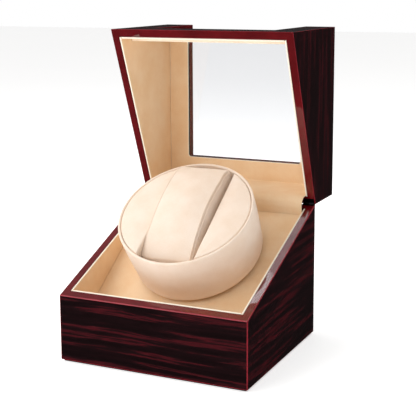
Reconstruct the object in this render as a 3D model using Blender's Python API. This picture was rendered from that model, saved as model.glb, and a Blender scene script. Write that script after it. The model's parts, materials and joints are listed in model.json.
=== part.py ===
"""A single watch winder box with a lift-up lid, in metres, +Z up.

The origin is the middle of the underside and the front faces -Y. The box is a cuboid that a
slanted plane splits into a base and a lid. The lid is modelled closed, under an empty on the
hinge line that holds it open. The drum, its drive and its watch pillow are modelled upright,
under an empty on the drum's axis that leans them forward.
"""

import math

import bmesh
import bpy
from mathutils import Matrix, Vector

# The closed box.
WIDTH = 0.180
DEPTH = 0.1635
HEIGHT = 0.1765
FRONT_SPLIT = 0.0612  # height of the base at its front
BACK_SPLIT = 0.126  # height of the base at its back, and of the hinge line
WALL = 0.007
LINER = 0.0015
FIT = 0.0003  # gap between pieces that touch
RIM_GAP = 0.00025  # each rim stands this far off the plane that splits the box
LID_OPEN = math.radians(90)

# The underside.
FELT = 0.0012
BOARD = 0.006

# The window in the lid's top and front.
FRAME = 0.0293  # how far the opening stays from the box's sides
REAR_RAIL = 0.030
FRONT_RAIL = 0.033
SEAL = 0.0008
PANE = 0.0018
PANE_LAP = 0.0075  # how far the panes reach behind their frame

# The sloping deck and the drum, on an axis square to the deck.
LEAN = math.radians(34.2)
DECK = 0.004
SHAFT_AT = Vector((0, 0.0193, 0.0839))  # where the axis comes out of the deck
DRUM_BOTTOM = 0.0033
DRUM_TOP = 0.0558
DRUM_RADIUS = 0.063
DRUM_FOOT_RADIUS = 0.060
DRUM_WALL = 0.003
SLOT = 0.052  # the slot that holds the pillow
CHANNEL_WALL = 0.0015
CHANNEL_FLOOR = 0.0095

# The watch pillow.
PILLOW_WIDTH = 0.050
PILLOW_LENGTH = 0.100
PILLOW_CROWN = 0.066
PILLOW_FRONT = 0.045  # height of its front end, which dips
PILLOW_BACK = 0.056

# The drive. Gears turn about axes parallel to the drum's.
MODULE = 0.0008
OUTPUT_TEETH = 42
IDLER_TEETH = 24
PINION_TEETH = 14
GEAR_TOP = -0.0068
GEAR_BOTTOM = -0.0125
IDLER_DIRECTION = math.radians(-40)
PINION_DIRECTION = math.radians(-100)
MESH_SLACK = 0.0001
HOUSING_FLOOR = -0.0150
HOUSING_BOTTOM = -0.0170
SHAFT_RADIUS = 0.003
MOTOR_RADIUS = 0.016
MOTOR_LENGTH = 0.027

# The hinges, let into the tops of the side walls.
LEAF_WIDTH = 0.0051
LEAF_LENGTH = 0.0140
LEAF = 0.0016
BARREL = 0.0020
PIN = 0.0009
LEAF_START = 0.0027  # where a leaf stops short of the other leaf's barrel

# The controls in the back of the base.
PLATE_WIDTH = 0.066
PLATE_HEIGHT = 0.024
PLATE = 0.0015
CONTROLS_Z = 0.034
SOCKET_X = -0.019
ROCKER_X = 0.019
SWITCH_TRAVEL = 0.004
ROCKER_TILT = math.radians(9)

SPLIT_SLOPE = math.atan2(BACK_SPLIT - FRONT_SPLIT, DEPTH)
BACK = DEPTH / 2
SIDE = WIDTH / 2
INNER_SIDE = SIDE - WALL
INNER_BACK = BACK - WALL
LINED_SIDE = INNER_SIDE - FIT - LINER


def split_height(y, offset=0.0):
    """Height of the slanted split above a depth, moved off it squarely by an offset."""
    middle = (FRONT_SPLIT + BACK_SPLIT) / 2
    return middle + y * math.tan(SPLIT_SLOPE) + offset / math.cos(SPLIT_SLOPE)


def deck_height(y, below=0.0):
    """Height of the deck's top above a depth, or of a plane squarely below it."""
    return SHAFT_AT.z + (y - SHAFT_AT.y) * math.tan(LEAN) - below / math.cos(LEAN)


# Making and placing pieces.


def clear_scene():
    for thing in list(bpy.data.objects):
        bpy.data.objects.remove(thing, do_unlink=True)


def finish_material(name, colour, roughness, metallic=0.0):
    """One Principled material, from a colour written as sRGB hex digits."""
    found = bpy.data.materials.get(name)
    if found:
        return found
    made = bpy.data.materials.new(name)
    made.use_nodes = True
    shader = made.node_tree.nodes["Principled BSDF"]
    channels = [int(colour[i : i + 2], 16) / 255 for i in (0, 2, 4)]
    linear = [c / 12.92 if c <= 0.04045 else ((c + 0.055) / 1.055) ** 2.4 for c in channels]
    shader.inputs["Base Color"].default_value = (*linear, 1)
    shader.inputs["Roughness"].default_value = roughness
    shader.inputs["Metallic"].default_value = metallic
    return made


def lacquer():
    return finish_material("ebony_lacquer", "2a0c12", 0.12)


def suede():
    return finish_material("cream_suede", "f2dcc2", 0.9)


def black_plastic():
    return finish_material("black_plastic", "17171a", 0.45)


def white_plastic():
    return finish_material("white_nylon", "e6e3da", 0.4)


def steel():
    return finish_material("steel", "b9b9bd", 0.3, 1.0)


def black_steel():
    return finish_material("black_steel", "141416", 0.35, 1.0)


def piece(name, mesh_data, material, parent=None):
    """Makes a named object of a bmesh, with its faces pointing out."""
    bmesh.ops.remove_doubles(mesh_data, verts=mesh_data.verts, dist=1e-7)
    bmesh.ops.recalc_face_normals(mesh_data, faces=mesh_data.faces)
    mesh = bpy.data.meshes.new(name)
    mesh_data.to_mesh(mesh)
    mesh_data.free()
    made = bpy.data.objects.new(name, mesh)
    bpy.context.scene.collection.objects.link(made)
    if material:
        mesh.materials.append(material)
    made.parent = parent
    return made


def smooth(made):
    made.data.shade_smooth()
    made.data.set_sharp_from_angle(angle=math.radians(35))
    return made


def cutter(name, mesh_data, parent=None):
    made = piece(name, mesh_data, None, parent)
    made.hide_render = True
    made.display_type = "WIRE"
    return made


def boolean(made, tool, operation="DIFFERENCE"):
    modifier = made.modifiers.new(f"{operation.lower()}_{tool.name}", "BOOLEAN")
    modifier.operation = operation
    modifier.object = tool


def extruded(outline, low, high, axis="Z"):
    """A bmesh of an outline drawn across an axis, from low to high along it.

    The outline's points are (y, z) across X, (x, z) across Y and (x, y) across Z.
    """
    place = {
        "X": lambda a, b, t: (t, a, b),
        "Y": lambda a, b, t: (a, t, b),
        "Z": lambda a, b, t: (a, b, t),
    }[axis]
    made = bmesh.new()
    face = made.faces.new([made.verts.new(place(a, b, low)) for a, b in outline])
    pushed = bmesh.ops.extrude_face_region(made, geom=[face])
    moved = [part for part in pushed["geom"] if isinstance(part, bmesh.types.BMVert)]
    bmesh.ops.translate(made, verts=moved, vec=place(0, 0, high - low))
    return made


def rectangle(x_low, x_high, y_low, y_high):
    return [(x_low, y_low), (x_high, y_low), (x_high, y_high), (x_low, y_high)]


def block(low, high):
    return extruded(rectangle(low[0], high[0], low[1], high[1]), low[2], high[2])


def turned(profile, steps, centre=(0, 0, 0), axis="Z", closed=False):
    """A bmesh of a profile of (radius, height) points turned about an axis.

    A closed profile makes a ring. An open one starts and ends on the axis.
    """
    made = bmesh.new()
    verts = [made.verts.new((radius, 0, height)) for radius, height in profile]
    ends = verts + verts[:1] if closed else verts
    edges = [made.edges.new(pair) for pair in zip(ends, ends[1:])]
    bmesh.ops.spin(
        made, geom=verts + edges, cent=(0, 0, 0), axis=(0, 0, 1), angle=math.tau, steps=steps
    )
    bmesh.ops.remove_doubles(made, verts=made.verts, dist=1e-6)
    turn = {"Z": Matrix(), "X": Matrix.Rotation(math.pi / 2, 4, "Y")}
    turn["Y"] = Matrix.Rotation(-math.pi / 2, 4, "X")
    made.transform(Matrix.Translation(centre) @ turn[axis])
    return made


def rod(radius, low, high, steps, centre=(0, 0, 0), axis="Z"):
    return turned([(0, low), (radius, low), (radius, high), (0, high)], steps, centre, axis)


def empty(name, location, tilt):
    made = bpy.data.objects.new(name, None)
    bpy.context.scene.collection.objects.link(made)
    made.location = location
    made.rotation_euler = (tilt, 0, 0)
    return made


# The base: four walls, a board, felt, liners and the sloping deck.


def base_walls():
    rim = -RIM_GAP
    foot = FELT + FIT
    side_outline = [
        (-BACK, foot),
        (BACK, foot),
        (BACK, split_height(BACK, rim)),
        (-BACK, split_height(-BACK, rim)),
    ]
    for name, low, high in (
        ("base_left_panel", -SIDE, -INNER_SIDE),
        ("base_right_panel", INNER_SIDE, SIDE),
    ):
        piece(name, extruded(side_outline, low, high, "X"), lacquer())
    across = INNER_SIDE - FIT
    for name, low, high in (
        ("base_front_panel", -BACK, -INNER_BACK),
        ("base_back_panel", INNER_BACK, BACK),
    ):
        outline = [
            (low, foot),
            (high, foot),
            (high, split_height(high, rim)),
            (low, split_height(low, rim)),
        ]
        piece(name, extruded(outline, -across, across, "X"), lacquer())


def base_underside():
    inset = 0.002
    felt = block((-SIDE + inset, -BACK + inset, 0), (SIDE - inset, BACK - inset, FELT))
    piece("underside_felt", felt, finish_material("black_felt", "1b1a1c", 0.95))
    x = INNER_SIDE - FIT
    y = INNER_BACK - FIT
    board = block((-x, -y, FELT + FIT), (x, y, FELT + FIT + BOARD))
    piece("base_bottom_board", board, finish_material("fibreboard", "8d6a45", 0.8))


def base_liners():
    """Suede-covered boards that stand on the walls' inside, from below the deck to the rim."""
    under_deck = 0.008
    end = INNER_BACK - FIT
    outline = [
        (-end, deck_height(-end, under_deck)),
        (end, deck_height(end, under_deck)),
        (end, split_height(end, -RIM_GAP)),
        (-end, split_height(-end, -RIM_GAP)),
    ]
    for name, low, high in (
        ("base_left_liner", -LINED_SIDE - LINER, -LINED_SIDE),
        ("base_right_liner", LINED_SIDE, LINED_SIDE + LINER),
    ):
        piece(name, extruded(outline, low, high, "X"), suede())
    across = LINED_SIDE - FIT
    front = [
        (-end, deck_height(-end, under_deck)),
        (-end + LINER, deck_height(-end, under_deck)),
        (-end + LINER, split_height(-end + LINER, -RIM_GAP)),
        (-end, split_height(-end, -RIM_GAP)),
    ]
    piece("base_front_liner", extruded(front, -across, across, "X"), suede())
    face = end - 0.0055
    back = [
        (end, deck_height(face, under_deck)),
        (end, split_height(end, -RIM_GAP)),
        (face + 0.0015, split_height(face, -RIM_GAP)),
        (face, split_height(face, -RIM_GAP) - 0.0015),
        (face, deck_height(face, under_deck)),
    ]
    piece("base_back_pad", extruded(back, -across, across, "X"), suede())
    return face


def deck(pad_face):
    """The sloping panel that hides the drive, with a hole for the drum's bearing."""
    front = -INNER_BACK + FIT + LINER + FIT
    back = pad_face - FIT
    outline = [
        (front, deck_height(front, DECK)),
        (back, deck_height(back, DECK)),
        (back, deck_height(back)),
        (front, deck_height(front)),
    ]
    across = LINED_SIDE - FIT
    made = piece("deck_panel", extruded(outline, -across, across, "X"), suede())
    cleat_height = 0.008
    cleat_width = 0.008
    cleat_front = front + 0.014
    cleat = [
        (cleat_front, deck_height(cleat_front, DECK + FIT + cleat_height)),
        (back, deck_height(back, DECK + FIT + cleat_height)),
        (back, deck_height(back, DECK + FIT)),
        (cleat_front, deck_height(cleat_front, DECK + FIT)),
    ]
    pine = finish_material("pine", "c79d66", 0.7)
    piece("deck_cleat_left", extruded(cleat, -across, -across + cleat_width, "X"), pine)
    piece("deck_cleat_right", extruded(cleat, across - cleat_width, across, "X"), pine)
    return made


# The lid, modelled closed around the hinge line.


def to_hinge(y, z):
    return (y - BACK, z - BACK_SPLIT)


def lid_x(outline, low, high):
    return extruded([to_hinge(y, z) for y, z in outline], low, high, "X")


def lid_z(outline, low, high):
    made = extruded(outline, low, high)
    made.transform(Matrix.Translation((0, -BACK, -BACK_SPLIT)))
    return made


def lid_y(outline, low, high):
    made = extruded(outline, low, high, "Y")
    made.transform(Matrix.Translation((0, -BACK, -BACK_SPLIT)))
    return made


def lid_walls(hinge):
    side_outline = [
        (-BACK, split_height(-BACK, RIM_GAP)),
        (BACK, split_height(BACK, RIM_GAP)),
        (BACK, HEIGHT),
        (-BACK, HEIGHT),
    ]
    piece("lid_left_panel", lid_x(side_outline, -SIDE, -INNER_SIDE), lacquer(), hinge)
    piece("lid_right_panel", lid_x(side_outline, INNER_SIDE, SIDE), lacquer(), hinge)
    across = INNER_SIDE - FIT
    rear = [
        (INNER_BACK, split_height(INNER_BACK, RIM_GAP)),
        (BACK, split_height(BACK, RIM_GAP)),
        (BACK, HEIGHT),
        (INNER_BACK, HEIGHT),
    ]
    piece("lid_rear_panel", lid_x(rear, -across, across), lacquer(), hinge)


def notched(across, opening, low, high, notch):
    """A U: a rectangle of half-width across, open at its low end down to a notch depth."""
    return [
        (-across, low),
        (-opening, low),
        (-opening, notch),
        (opening, notch),
        (opening, low),
        (across, low),
        (across, high),
        (-across, high),
    ]


def lid_window(hinge):
    """Two U-shaped frames whose open ends meet at the lid's front edge, and their glazing."""
    opening = SIDE - FRAME
    across = INNER_SIDE - FIT
    inner_top = HEIGHT - WALL
    rear_edge = BACK - REAR_RAIL
    rail_top = FRONT_SPLIT + FRONT_RAIL
    rim = split_height(-BACK, RIM_GAP)

    top = notched(across, opening, -INNER_BACK + FIT, INNER_BACK - FIT, rear_edge)
    piece("lid_top_frame", lid_z(top, inner_top, HEIGHT), lacquer(), hinge)
    front = [(x, -z) for x, z in notched(across, opening, -HEIGHT, -rim, -rail_top)]
    front_frame = piece("lid_front_frame", lid_y(front, -BACK, -INNER_BACK), lacquer(), hinge)
    trim_to_split(front_frame, hinge)

    rubber = finish_material("black_rubber", "101012", 0.7)
    seal_top = inner_top - FIT
    seal_outer = opening + PANE_LAP
    seal_front = -INNER_BACK + FIT
    ring = notched(seal_outer, opening, seal_front + SEAL + FIT, rear_edge + PANE_LAP, rear_edge)
    piece("top_window_seal", lid_z(ring, seal_top - SEAL, seal_top), rubber, hinge)
    ring = notched(seal_outer, opening, -seal_top, -rail_top + PANE_LAP, -rail_top)
    ring = [(x, -z) for x, z in ring]
    piece("front_window_seal", lid_y(ring, seal_front, seal_front + SEAL), rubber, hinge)

    acrylic = finish_material("clear_acrylic", "eef3f6", 0.03)
    pane_top = seal_top - SEAL - FIT
    pane_front = seal_front + SEAL + FIT
    sheet = rectangle(-seal_outer, seal_outer, pane_front + PANE + FIT, rear_edge + PANE_LAP)
    piece("top_window_pane", lid_z(sheet, pane_top - PANE, pane_top), acrylic, hinge)
    sheet = rectangle(-seal_outer, seal_outer, rail_top - PANE_LAP, pane_top)
    piece("front_window_pane", lid_y(sheet, pane_front, pane_front + PANE), acrylic, hinge)

    lined_top = pane_top - PANE - FIT
    lined_front = pane_front + PANE + FIT
    across = LINED_SIDE - FIT
    ring = notched(across, opening, lined_front + LINER + FIT, INNER_BACK - FIT, rear_edge)
    piece("lid_top_liner", lid_z(ring, lined_top - LINER, lined_top), suede(), hinge)
    lap_foot = rail_top - PANE_LAP - FIT
    step_foot = lap_foot - LINER
    ring = [(x, -z) for x, z in notched(across, opening, -lined_top, -step_foot, -rail_top)]
    liner = piece(
        "lid_front_liner", lid_y(ring, lined_front, lined_front + LINER), suede(), hinge
    )
    for name, low, face in (
        ("lid_front_lower", rim, seal_front + LINER),
        ("lid_front_step", step_foot, lined_front + LINER),
    ):
        added = lid_y(rectangle(-across, across, low, lap_foot), seal_front, face)
        boolean(liner, cutter(name, added, hinge), "UNION")
    trim_to_split(liner, hinge)
    return lined_top - LINER


def trim_to_split(made, hinge):
    """Cuts a lid piece's lower edge to the slope of the split."""
    drop = 0.02
    reach = BACK + 0.01
    below = [
        (-reach, split_height(-reach, RIM_GAP) - drop),
        (reach, split_height(reach, RIM_GAP) - drop),
        (reach, split_height(reach, RIM_GAP)),
        (-reach, split_height(-reach, RIM_GAP)),
    ]
    tool = cutter(f"{made.name}_trim", lid_x(below, -WIDTH, WIDTH), hinge)
    boolean(made, tool)


def lid_liners(hinge, lined_top):
    end = INNER_BACK - FIT
    inner_top = HEIGHT - WALL - FIT
    outline = [
        (-end, split_height(-end, RIM_GAP)),
        (end, split_height(end, RIM_GAP)),
        (end, inner_top),
        (-end, inner_top),
    ]
    low = LINED_SIDE
    high = LINED_SIDE + LINER
    piece("lid_left_liner", lid_x(outline, -high, -low), suede(), hinge)
    piece("lid_right_liner", lid_x(outline, low, high), suede(), hinge)
    across = LINED_SIDE - FIT
    pad_rim = 0.0045
    pad_top = 0.0095
    pad = [
        (end, split_height(end, RIM_GAP) + 0.0015),
        (end, lined_top - FIT),
        (end - pad_top, lined_top - FIT),
        (end - pad_rim, split_height(end, RIM_GAP) + 0.004),
    ]
    piece("lid_rear_pad", lid_x(pad, -across, across), suede(), hinge)


# The hinges. Their own frame has X along the pin, Y down the rim and Z into the base's wood.


def hinge_leaves(hinge):
    tilt = math.pi + SPLIT_SLOPE
    inner = INNER_SIDE + FIT
    for side_name, side in (("left", -1), ("right", 1)):
        low, high = sorted((side * inner, side * (inner + LEAF_WIDTH)))
        middle = (low + high) / 2
        halves = {"inner": (low, middle), "outer": (middle, high)}
        if side < 0:
            halves = {"inner": (middle, high), "outer": (low, middle)}
        base_frame = empty(f"hinge_frame_{side_name}", (0, BACK, BACK_SPLIT), tilt)
        lid_frame = empty(f"lid_hinge_frame_{side_name}", (0, 0, 0), tilt)
        lid_frame.parent = hinge
        for owner, frame, sign, half in (
            ("base", base_frame, 1, halves["outer"]),
            ("lid", lid_frame, -1, halves["inner"]),
        ):
            name = f"{owner}_hinge_leaf_{side_name}"
            leaf = piece(name, leaf_plate(low, high, sign), black_steel(), frame)
            barrel_low = half[0] + FIT / 2
            barrel_high = half[1] - FIT / 2
            neck_z = sorted((sign * RIM_GAP, sign * (RIM_GAP + LEAF)))
            neck_start = (barrel_low, 0, neck_z[0])
            neck = block(neck_start, (barrel_high, LEAF_START + 0.001, neck_z[1]))
            boolean(leaf, cutter(f"{name}_neck", neck, frame), "UNION")
            barrel = rod(BARREL, barrel_low, barrel_high, 16, axis="X")
            boolean(leaf, cutter(f"{name}_barrel", barrel, frame), "UNION")
            if owner == "base":
                pin_end = side * (inner + FIT)
                pin = rod(PIN, *sorted((middle + side * 0.0005, pin_end)), 12, axis="X")
                boolean(leaf, cutter(f"{name}_pin", pin, frame), "UNION")
            else:
                reach = (low - FIT, high + FIT)
                bore = rod(PIN + FIT, *reach, 12, axis="X")
                boolean(leaf, cutter(f"{name}_bore", bore, frame))
            mortise(bpy.data.objects[f"{owner}_{side_name}_panel"], low, high, sign, frame)


def leaf_outline(low, high, start, end):
    """A strip along Y whose far end is half round."""
    middle = (low + high) / 2
    radius = (high - low) / 2
    turn = [math.pi * i / 8 for i in range(9)]
    rounded = [(middle + radius * math.cos(a), end - radius + radius * math.sin(a)) for a in turn]
    return [(low, start), (high, start), *rounded]


def leaf_plate(low, high, sign):
    faces = sorted((sign * RIM_GAP, sign * (RIM_GAP + LEAF)))
    return extruded(leaf_outline(low, high, LEAF_START, LEAF_LENGTH), *faces)


def mortise(panel, low, high, sign, frame):
    """Cuts a leaf's pocket and the room round its barrel out of a side panel."""
    open_face = 0.003
    depths = sorted((sign * (RIM_GAP + LEAF + FIT), -sign * open_face))
    outline = leaf_outline(low - FIT, high + FIT, -0.004, LEAF_LENGTH + FIT)
    pocket = cutter(f"{panel.name}_pocket", extruded(outline, *depths), frame)
    room = rod(BARREL + 2 * FIT, low - FIT, high + FIT, 16, axis="X")
    boolean(panel, pocket)
    boolean(panel, cutter(f"{panel.name}_barrel_room", room, frame))


# The drum, upright in its own frame: Z is its axis and z = 0 is the deck's top.


def drum(axis):
    wall_top = DRUM_TOP - 0.0015
    roll = 0.0022
    quarter = [math.pi / 2 * i / 4 for i in range(5)]
    rolled = [
        (DRUM_RADIUS - roll + roll * math.cos(a), wall_top - roll + roll * math.sin(a))
        for a in quarter
    ]
    hub_hole = 0.0078
    floor_top = DRUM_BOTTOM + DRUM_WALL
    shell = [
        (hub_hole, DRUM_BOTTOM),
        (DRUM_FOOT_RADIUS - 0.0015, DRUM_BOTTOM),
        (DRUM_FOOT_RADIUS, DRUM_BOTTOM + 0.0015),
        *rolled,
        (DRUM_RADIUS - DRUM_WALL - roll, wall_top),
        (DRUM_RADIUS - DRUM_WALL - 0.0022, floor_top),
        (hub_hole, floor_top),
    ]
    smooth(piece("drum_shell", turned(shell, 56, closed=True), suede(), axis))

    face_radius = DRUM_RADIUS - DRUM_WALL - 0.0022 - FIT - 0.0002
    edge = SLOT / 2 + CHANNEL_WALL + FIT
    for name, side in (("drum_face_left", -1), ("drum_face_right", 1)):
        half_angle = math.acos(edge / face_radius)
        arc = [half_angle * (i / 10 - 1) for i in range(21)]
        outline = [(side * face_radius * math.cos(a), face_radius * math.sin(a)) for a in arc]
        made = extruded(outline, DRUM_TOP - 0.006, DRUM_TOP)
        piece(name, made, suede(), axis)

    half = SLOT / 2 + CHANNEL_WALL
    long = math.sqrt(face_radius**2 - half**2)
    channel_top = DRUM_TOP - 0.0008
    channel = [
        (-half, CHANNEL_FLOOR),
        (half, CHANNEL_FLOOR),
        (half, channel_top),
        (half - CHANNEL_WALL, channel_top),
        (half - CHANNEL_WALL, CHANNEL_FLOOR + CHANNEL_WALL),
        (-half + CHANNEL_WALL, CHANNEL_FLOOR + CHANNEL_WALL),
        (-half + CHANNEL_WALL, channel_top),
        (-half, channel_top),
    ]
    piece("slot_channel", extruded(channel, -long, long, "Y"), suede(), axis)

    hub_foot = 0.0010
    hub = [
        (SHAFT_RADIUS + FIT, hub_foot),
        (hub_hole - FIT, hub_foot),
        (hub_hole - FIT, floor_top + FIT),
        (0.018, floor_top + FIT),
        (0.018, CHANNEL_FLOOR - FIT),
        (SHAFT_RADIUS + FIT, CHANNEL_FLOOR - FIT),
    ]
    smooth(piece("drum_hub", turned(hub, 28, closed=True), black_plastic(), axis))
    shaft = rod(SHAFT_RADIUS, HOUSING_BOTTOM - 0.002, CHANNEL_FLOOR - FIT, 20)
    smooth(piece("drum_shaft", shaft, steel(), axis))


def pillow(axis):
    """The soft cuff that the watch is strapped round, on the plate that keeps its shape."""
    plate_foot = CHANNEL_FLOOR + CHANNEL_WALL + FIT
    plate_top = plate_foot + 0.003
    x = PILLOW_WIDTH / 2
    y = PILLOW_LENGTH / 2
    plate = block((-x + 0.002, -y + 0.004, plate_foot), (x - 0.002, y - 0.004, plate_top))
    piece("pillow_plate", plate, black_plastic(), axis)
    middle = (PILLOW_FRONT + PILLOW_BACK) / 2
    crown = []
    for i in range(17):
        along = 1 - i / 8
        level = middle + (PILLOW_BACK - PILLOW_FRONT) / 2 * along
        crown.append((y * along, level + (PILLOW_CROWN - middle) * (1 - along**2)))
    outline = [(-y, plate_top + FIT), (y, plate_top + FIT), *crown]
    piece("pillow_cushion", extruded(outline, -x, x, "X"), suede(), axis)


# The drive under the deck.


def gear_outline(teeth, phase):
    """An involute spur gear's outline, with one tooth centred on the phase angle."""
    pressure = math.radians(20)
    pitch = MODULE * teeth / 2
    base = pitch * math.cos(pressure)
    tip = pitch + 0.9 * MODULE
    root = pitch - 1.2 * MODULE
    slack = MESH_SLACK / pitch
    half_tooth = math.pi / (2 * teeth) - slack / 2 + math.tan(pressure) - pressure

    def flank(radius):
        rolled = math.sqrt(max((radius / base) ** 2 - 1, 0))
        return half_tooth - (rolled - math.atan(rolled))

    start = max(base, root)
    radii = [start, (start + tip) / 2, tip]
    low_flank = [(root, flank(start)), *((r, flank(r)) for r in radii[start == root :])]
    points = []
    for tooth in range(teeth):
        centre = phase + math.tau * tooth / teeth
        points += [(r, centre - a) for r, a in low_flank]
        points += [(r, centre + a) for r, a in reversed(low_flank)]
    return [(r * math.cos(a), r * math.sin(a)) for r, a in points]


def meshed_phase(phase, teeth, direction, other_teeth):
    """The phase of a gear that meshes with one at a known phase, seen in a direction."""
    pitch_angle = math.tau / teeth
    ahead = ((phase - direction) / pitch_angle) % 1
    return direction + math.pi + (0.5 - ahead) * math.tau / other_teeth


def gear(name, teeth, phase, bore, centre, axis):
    frame = empty(f"{name}_axis", centre, 0)
    frame.parent = axis
    made = extruded(gear_outline(teeth, phase), GEAR_BOTTOM, GEAR_TOP)
    wheel = piece(name, made, white_plastic(), frame)
    if bore:
        hole = rod(bore, GEAR_BOTTOM - 0.001, GEAR_TOP + 0.001, 20)
        boolean(wheel, cutter(f"{name}_bore", hole, frame))
    return wheel


def drive(axis, deck_panel):
    idler_reach = MODULE * (OUTPUT_TEETH + IDLER_TEETH) / 2
    pinion_reach = MODULE * (IDLER_TEETH + PINION_TEETH) / 2
    idler_at = Vector((math.cos(IDLER_DIRECTION), math.sin(IDLER_DIRECTION), 0)) * idler_reach
    step = Vector((math.cos(PINION_DIRECTION), math.sin(PINION_DIRECTION), 0)) * pinion_reach
    pinion_at = idler_at + step

    gear("output_gear", OUTPUT_TEETH, IDLER_DIRECTION, SHAFT_RADIUS + FIT, (0, 0, 0), axis)
    idler_phase = meshed_phase(IDLER_DIRECTION, OUTPUT_TEETH, IDLER_DIRECTION, IDLER_TEETH)
    axle = 0.0015
    gear("idler_gear", IDLER_TEETH, idler_phase, axle + FIT, idler_at, axis)
    pinion_phase = meshed_phase(idler_phase, IDLER_TEETH, PINION_DIRECTION, PINION_TEETH)
    pinion = gear("motor_pinion", PINION_TEETH, pinion_phase, 0, pinion_at, axis)
    motor_top = HOUSING_BOTTOM - FIT
    bore_floor = motor_top - 0.007
    shaft = rod(axle, bore_floor + FIT, GEAR_BOTTOM + 0.001, 16)
    boolean(pinion, cutter("pinion_shaft", shaft, pinion.parent), "UNION")

    pin = rod(axle, HOUSING_FLOOR + FIT, GEAR_TOP + 0.001, 16, idler_at)
    smooth(piece("idler_axle", pin, steel(), axis))

    boss = 0.0045
    body = [
        (0, motor_top - MOTOR_LENGTH),
        (MOTOR_RADIUS, motor_top - MOTOR_LENGTH),
        (MOTOR_RADIUS, motor_top),
        (boss, motor_top),
        (boss, HOUSING_FLOOR - 0.0004),
        (axle + FIT, HOUSING_FLOOR - 0.0004),
        (axle + FIT, bore_floor),
        (0, bore_floor),
    ]
    smooth(piece("gear_motor", turned(body, 32, pinion_at), steel(), axis))
    housing(axis, deck_panel, idler_at, pinion_at, boss)
    bearing(axis, deck_panel)
    return pinion_at


def housing(axis, deck_panel, idler_at, pinion_at, boss):
    """The moulded gear case, screwed up into the deck by three ears."""
    wall = 0.0018
    room = 0.0015
    radius = {
        "output": MODULE * (OUTPUT_TEETH / 2 + 1) + room,
        "idler": MODULE * (IDLER_TEETH / 2 + 1) + room,
        "pinion": MODULE * (PINION_TEETH / 2 + 1) + room,
    }
    left = -radius["output"]
    right = idler_at.x + radius["idler"]
    front = pinion_at.y - radius["pinion"]
    back = radius["output"]
    rim = -DECK - FIT
    case = block((left - wall, front - wall, HOUSING_BOTTOM), (right + wall, back + wall, rim))
    made = piece("gear_case", case, white_plastic(), axis)
    ear = 0.0045
    ear_foot = rim - 0.003
    ears = [
        (left - wall - ear * 0.6, back - 0.006),
        (right + wall + ear * 0.6, back - 0.006),
        (left - wall - ear * 0.6, front + 0.006),
    ]
    for number, (x, y) in enumerate(ears, 1):
        lug = rod(ear, ear_foot, rim, 16, (x, y, 0))
        boolean(made, cutter(f"case_ear_{number}", lug, axis), "UNION")
    pocket = block((left, front, HOUSING_FLOOR), (right, back, rim + 0.001))
    boolean(made, cutter("case_pocket", pocket, axis))
    holes = [
        ("shaft", SHAFT_RADIUS + FIT, (0, 0, 0)),
        ("boss", boss + FIT, pinion_at),
    ]
    shank = 0.0013
    for number, (x, y) in enumerate(ears, 1):
        holes.append((f"screw_{number}", shank + FIT, (x, y, 0)))
        pilot = rod(shank + FIT, -DECK - 0.001, -0.0010, 12, (x, y, 0))
        boolean(deck_panel, cutter(f"deck_pilot_{number}", pilot, axis))
        screw = screw_profile(shank, 0.0026, 0.0016, -0.0014 - ear_foot + FIT)
        body = turned(screw, 14, (x, y, ear_foot - FIT))
        smooth(piece(f"case_screw_{number}", body, steel(), axis))
    for name, hole_radius, centre in holes:
        hole = rod(hole_radius, HOUSING_BOTTOM - 0.001, rim + 0.001, 20, centre)
        boolean(made, cutter(f"case_hole_{name}", hole, axis))


def screw_profile(shank, head, head_height, length):
    """A pan-head screw pointing up, with the underside of its head at zero."""
    return [
        (0, -head_height),
        (head * 0.7, -head_height),
        (head, -head_height * 0.5),
        (head, 0),
        (shank, 0),
        (shank, length - shank * 0.6),
        (shank * 0.4, length),
        (0, length),
    ]


def bearing(axis, deck_panel):
    bush = 0.0060
    flange = 0.0085
    hole = rod(bush + FIT, -DECK - 0.003, 0.003, 28)
    boolean(deck_panel, cutter("deck_bearing_hole", hole, axis))
    bore = SHAFT_RADIUS + FIT
    under = -DECK - FIT
    profile = [
        (bore, under - 0.0015),
        (flange, under - 0.0015),
        (flange, under),
        (bush, under),
        (bush, -FIT),
        (bore, -FIT),
    ]
    bronze = finish_material("sintered_bronze", "a9814a", 0.45, 1.0)
    smooth(piece("drum_bearing", turned(profile, 28, closed=True), bronze, axis))


# The controls at the back, whose frame stays the world's.


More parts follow.
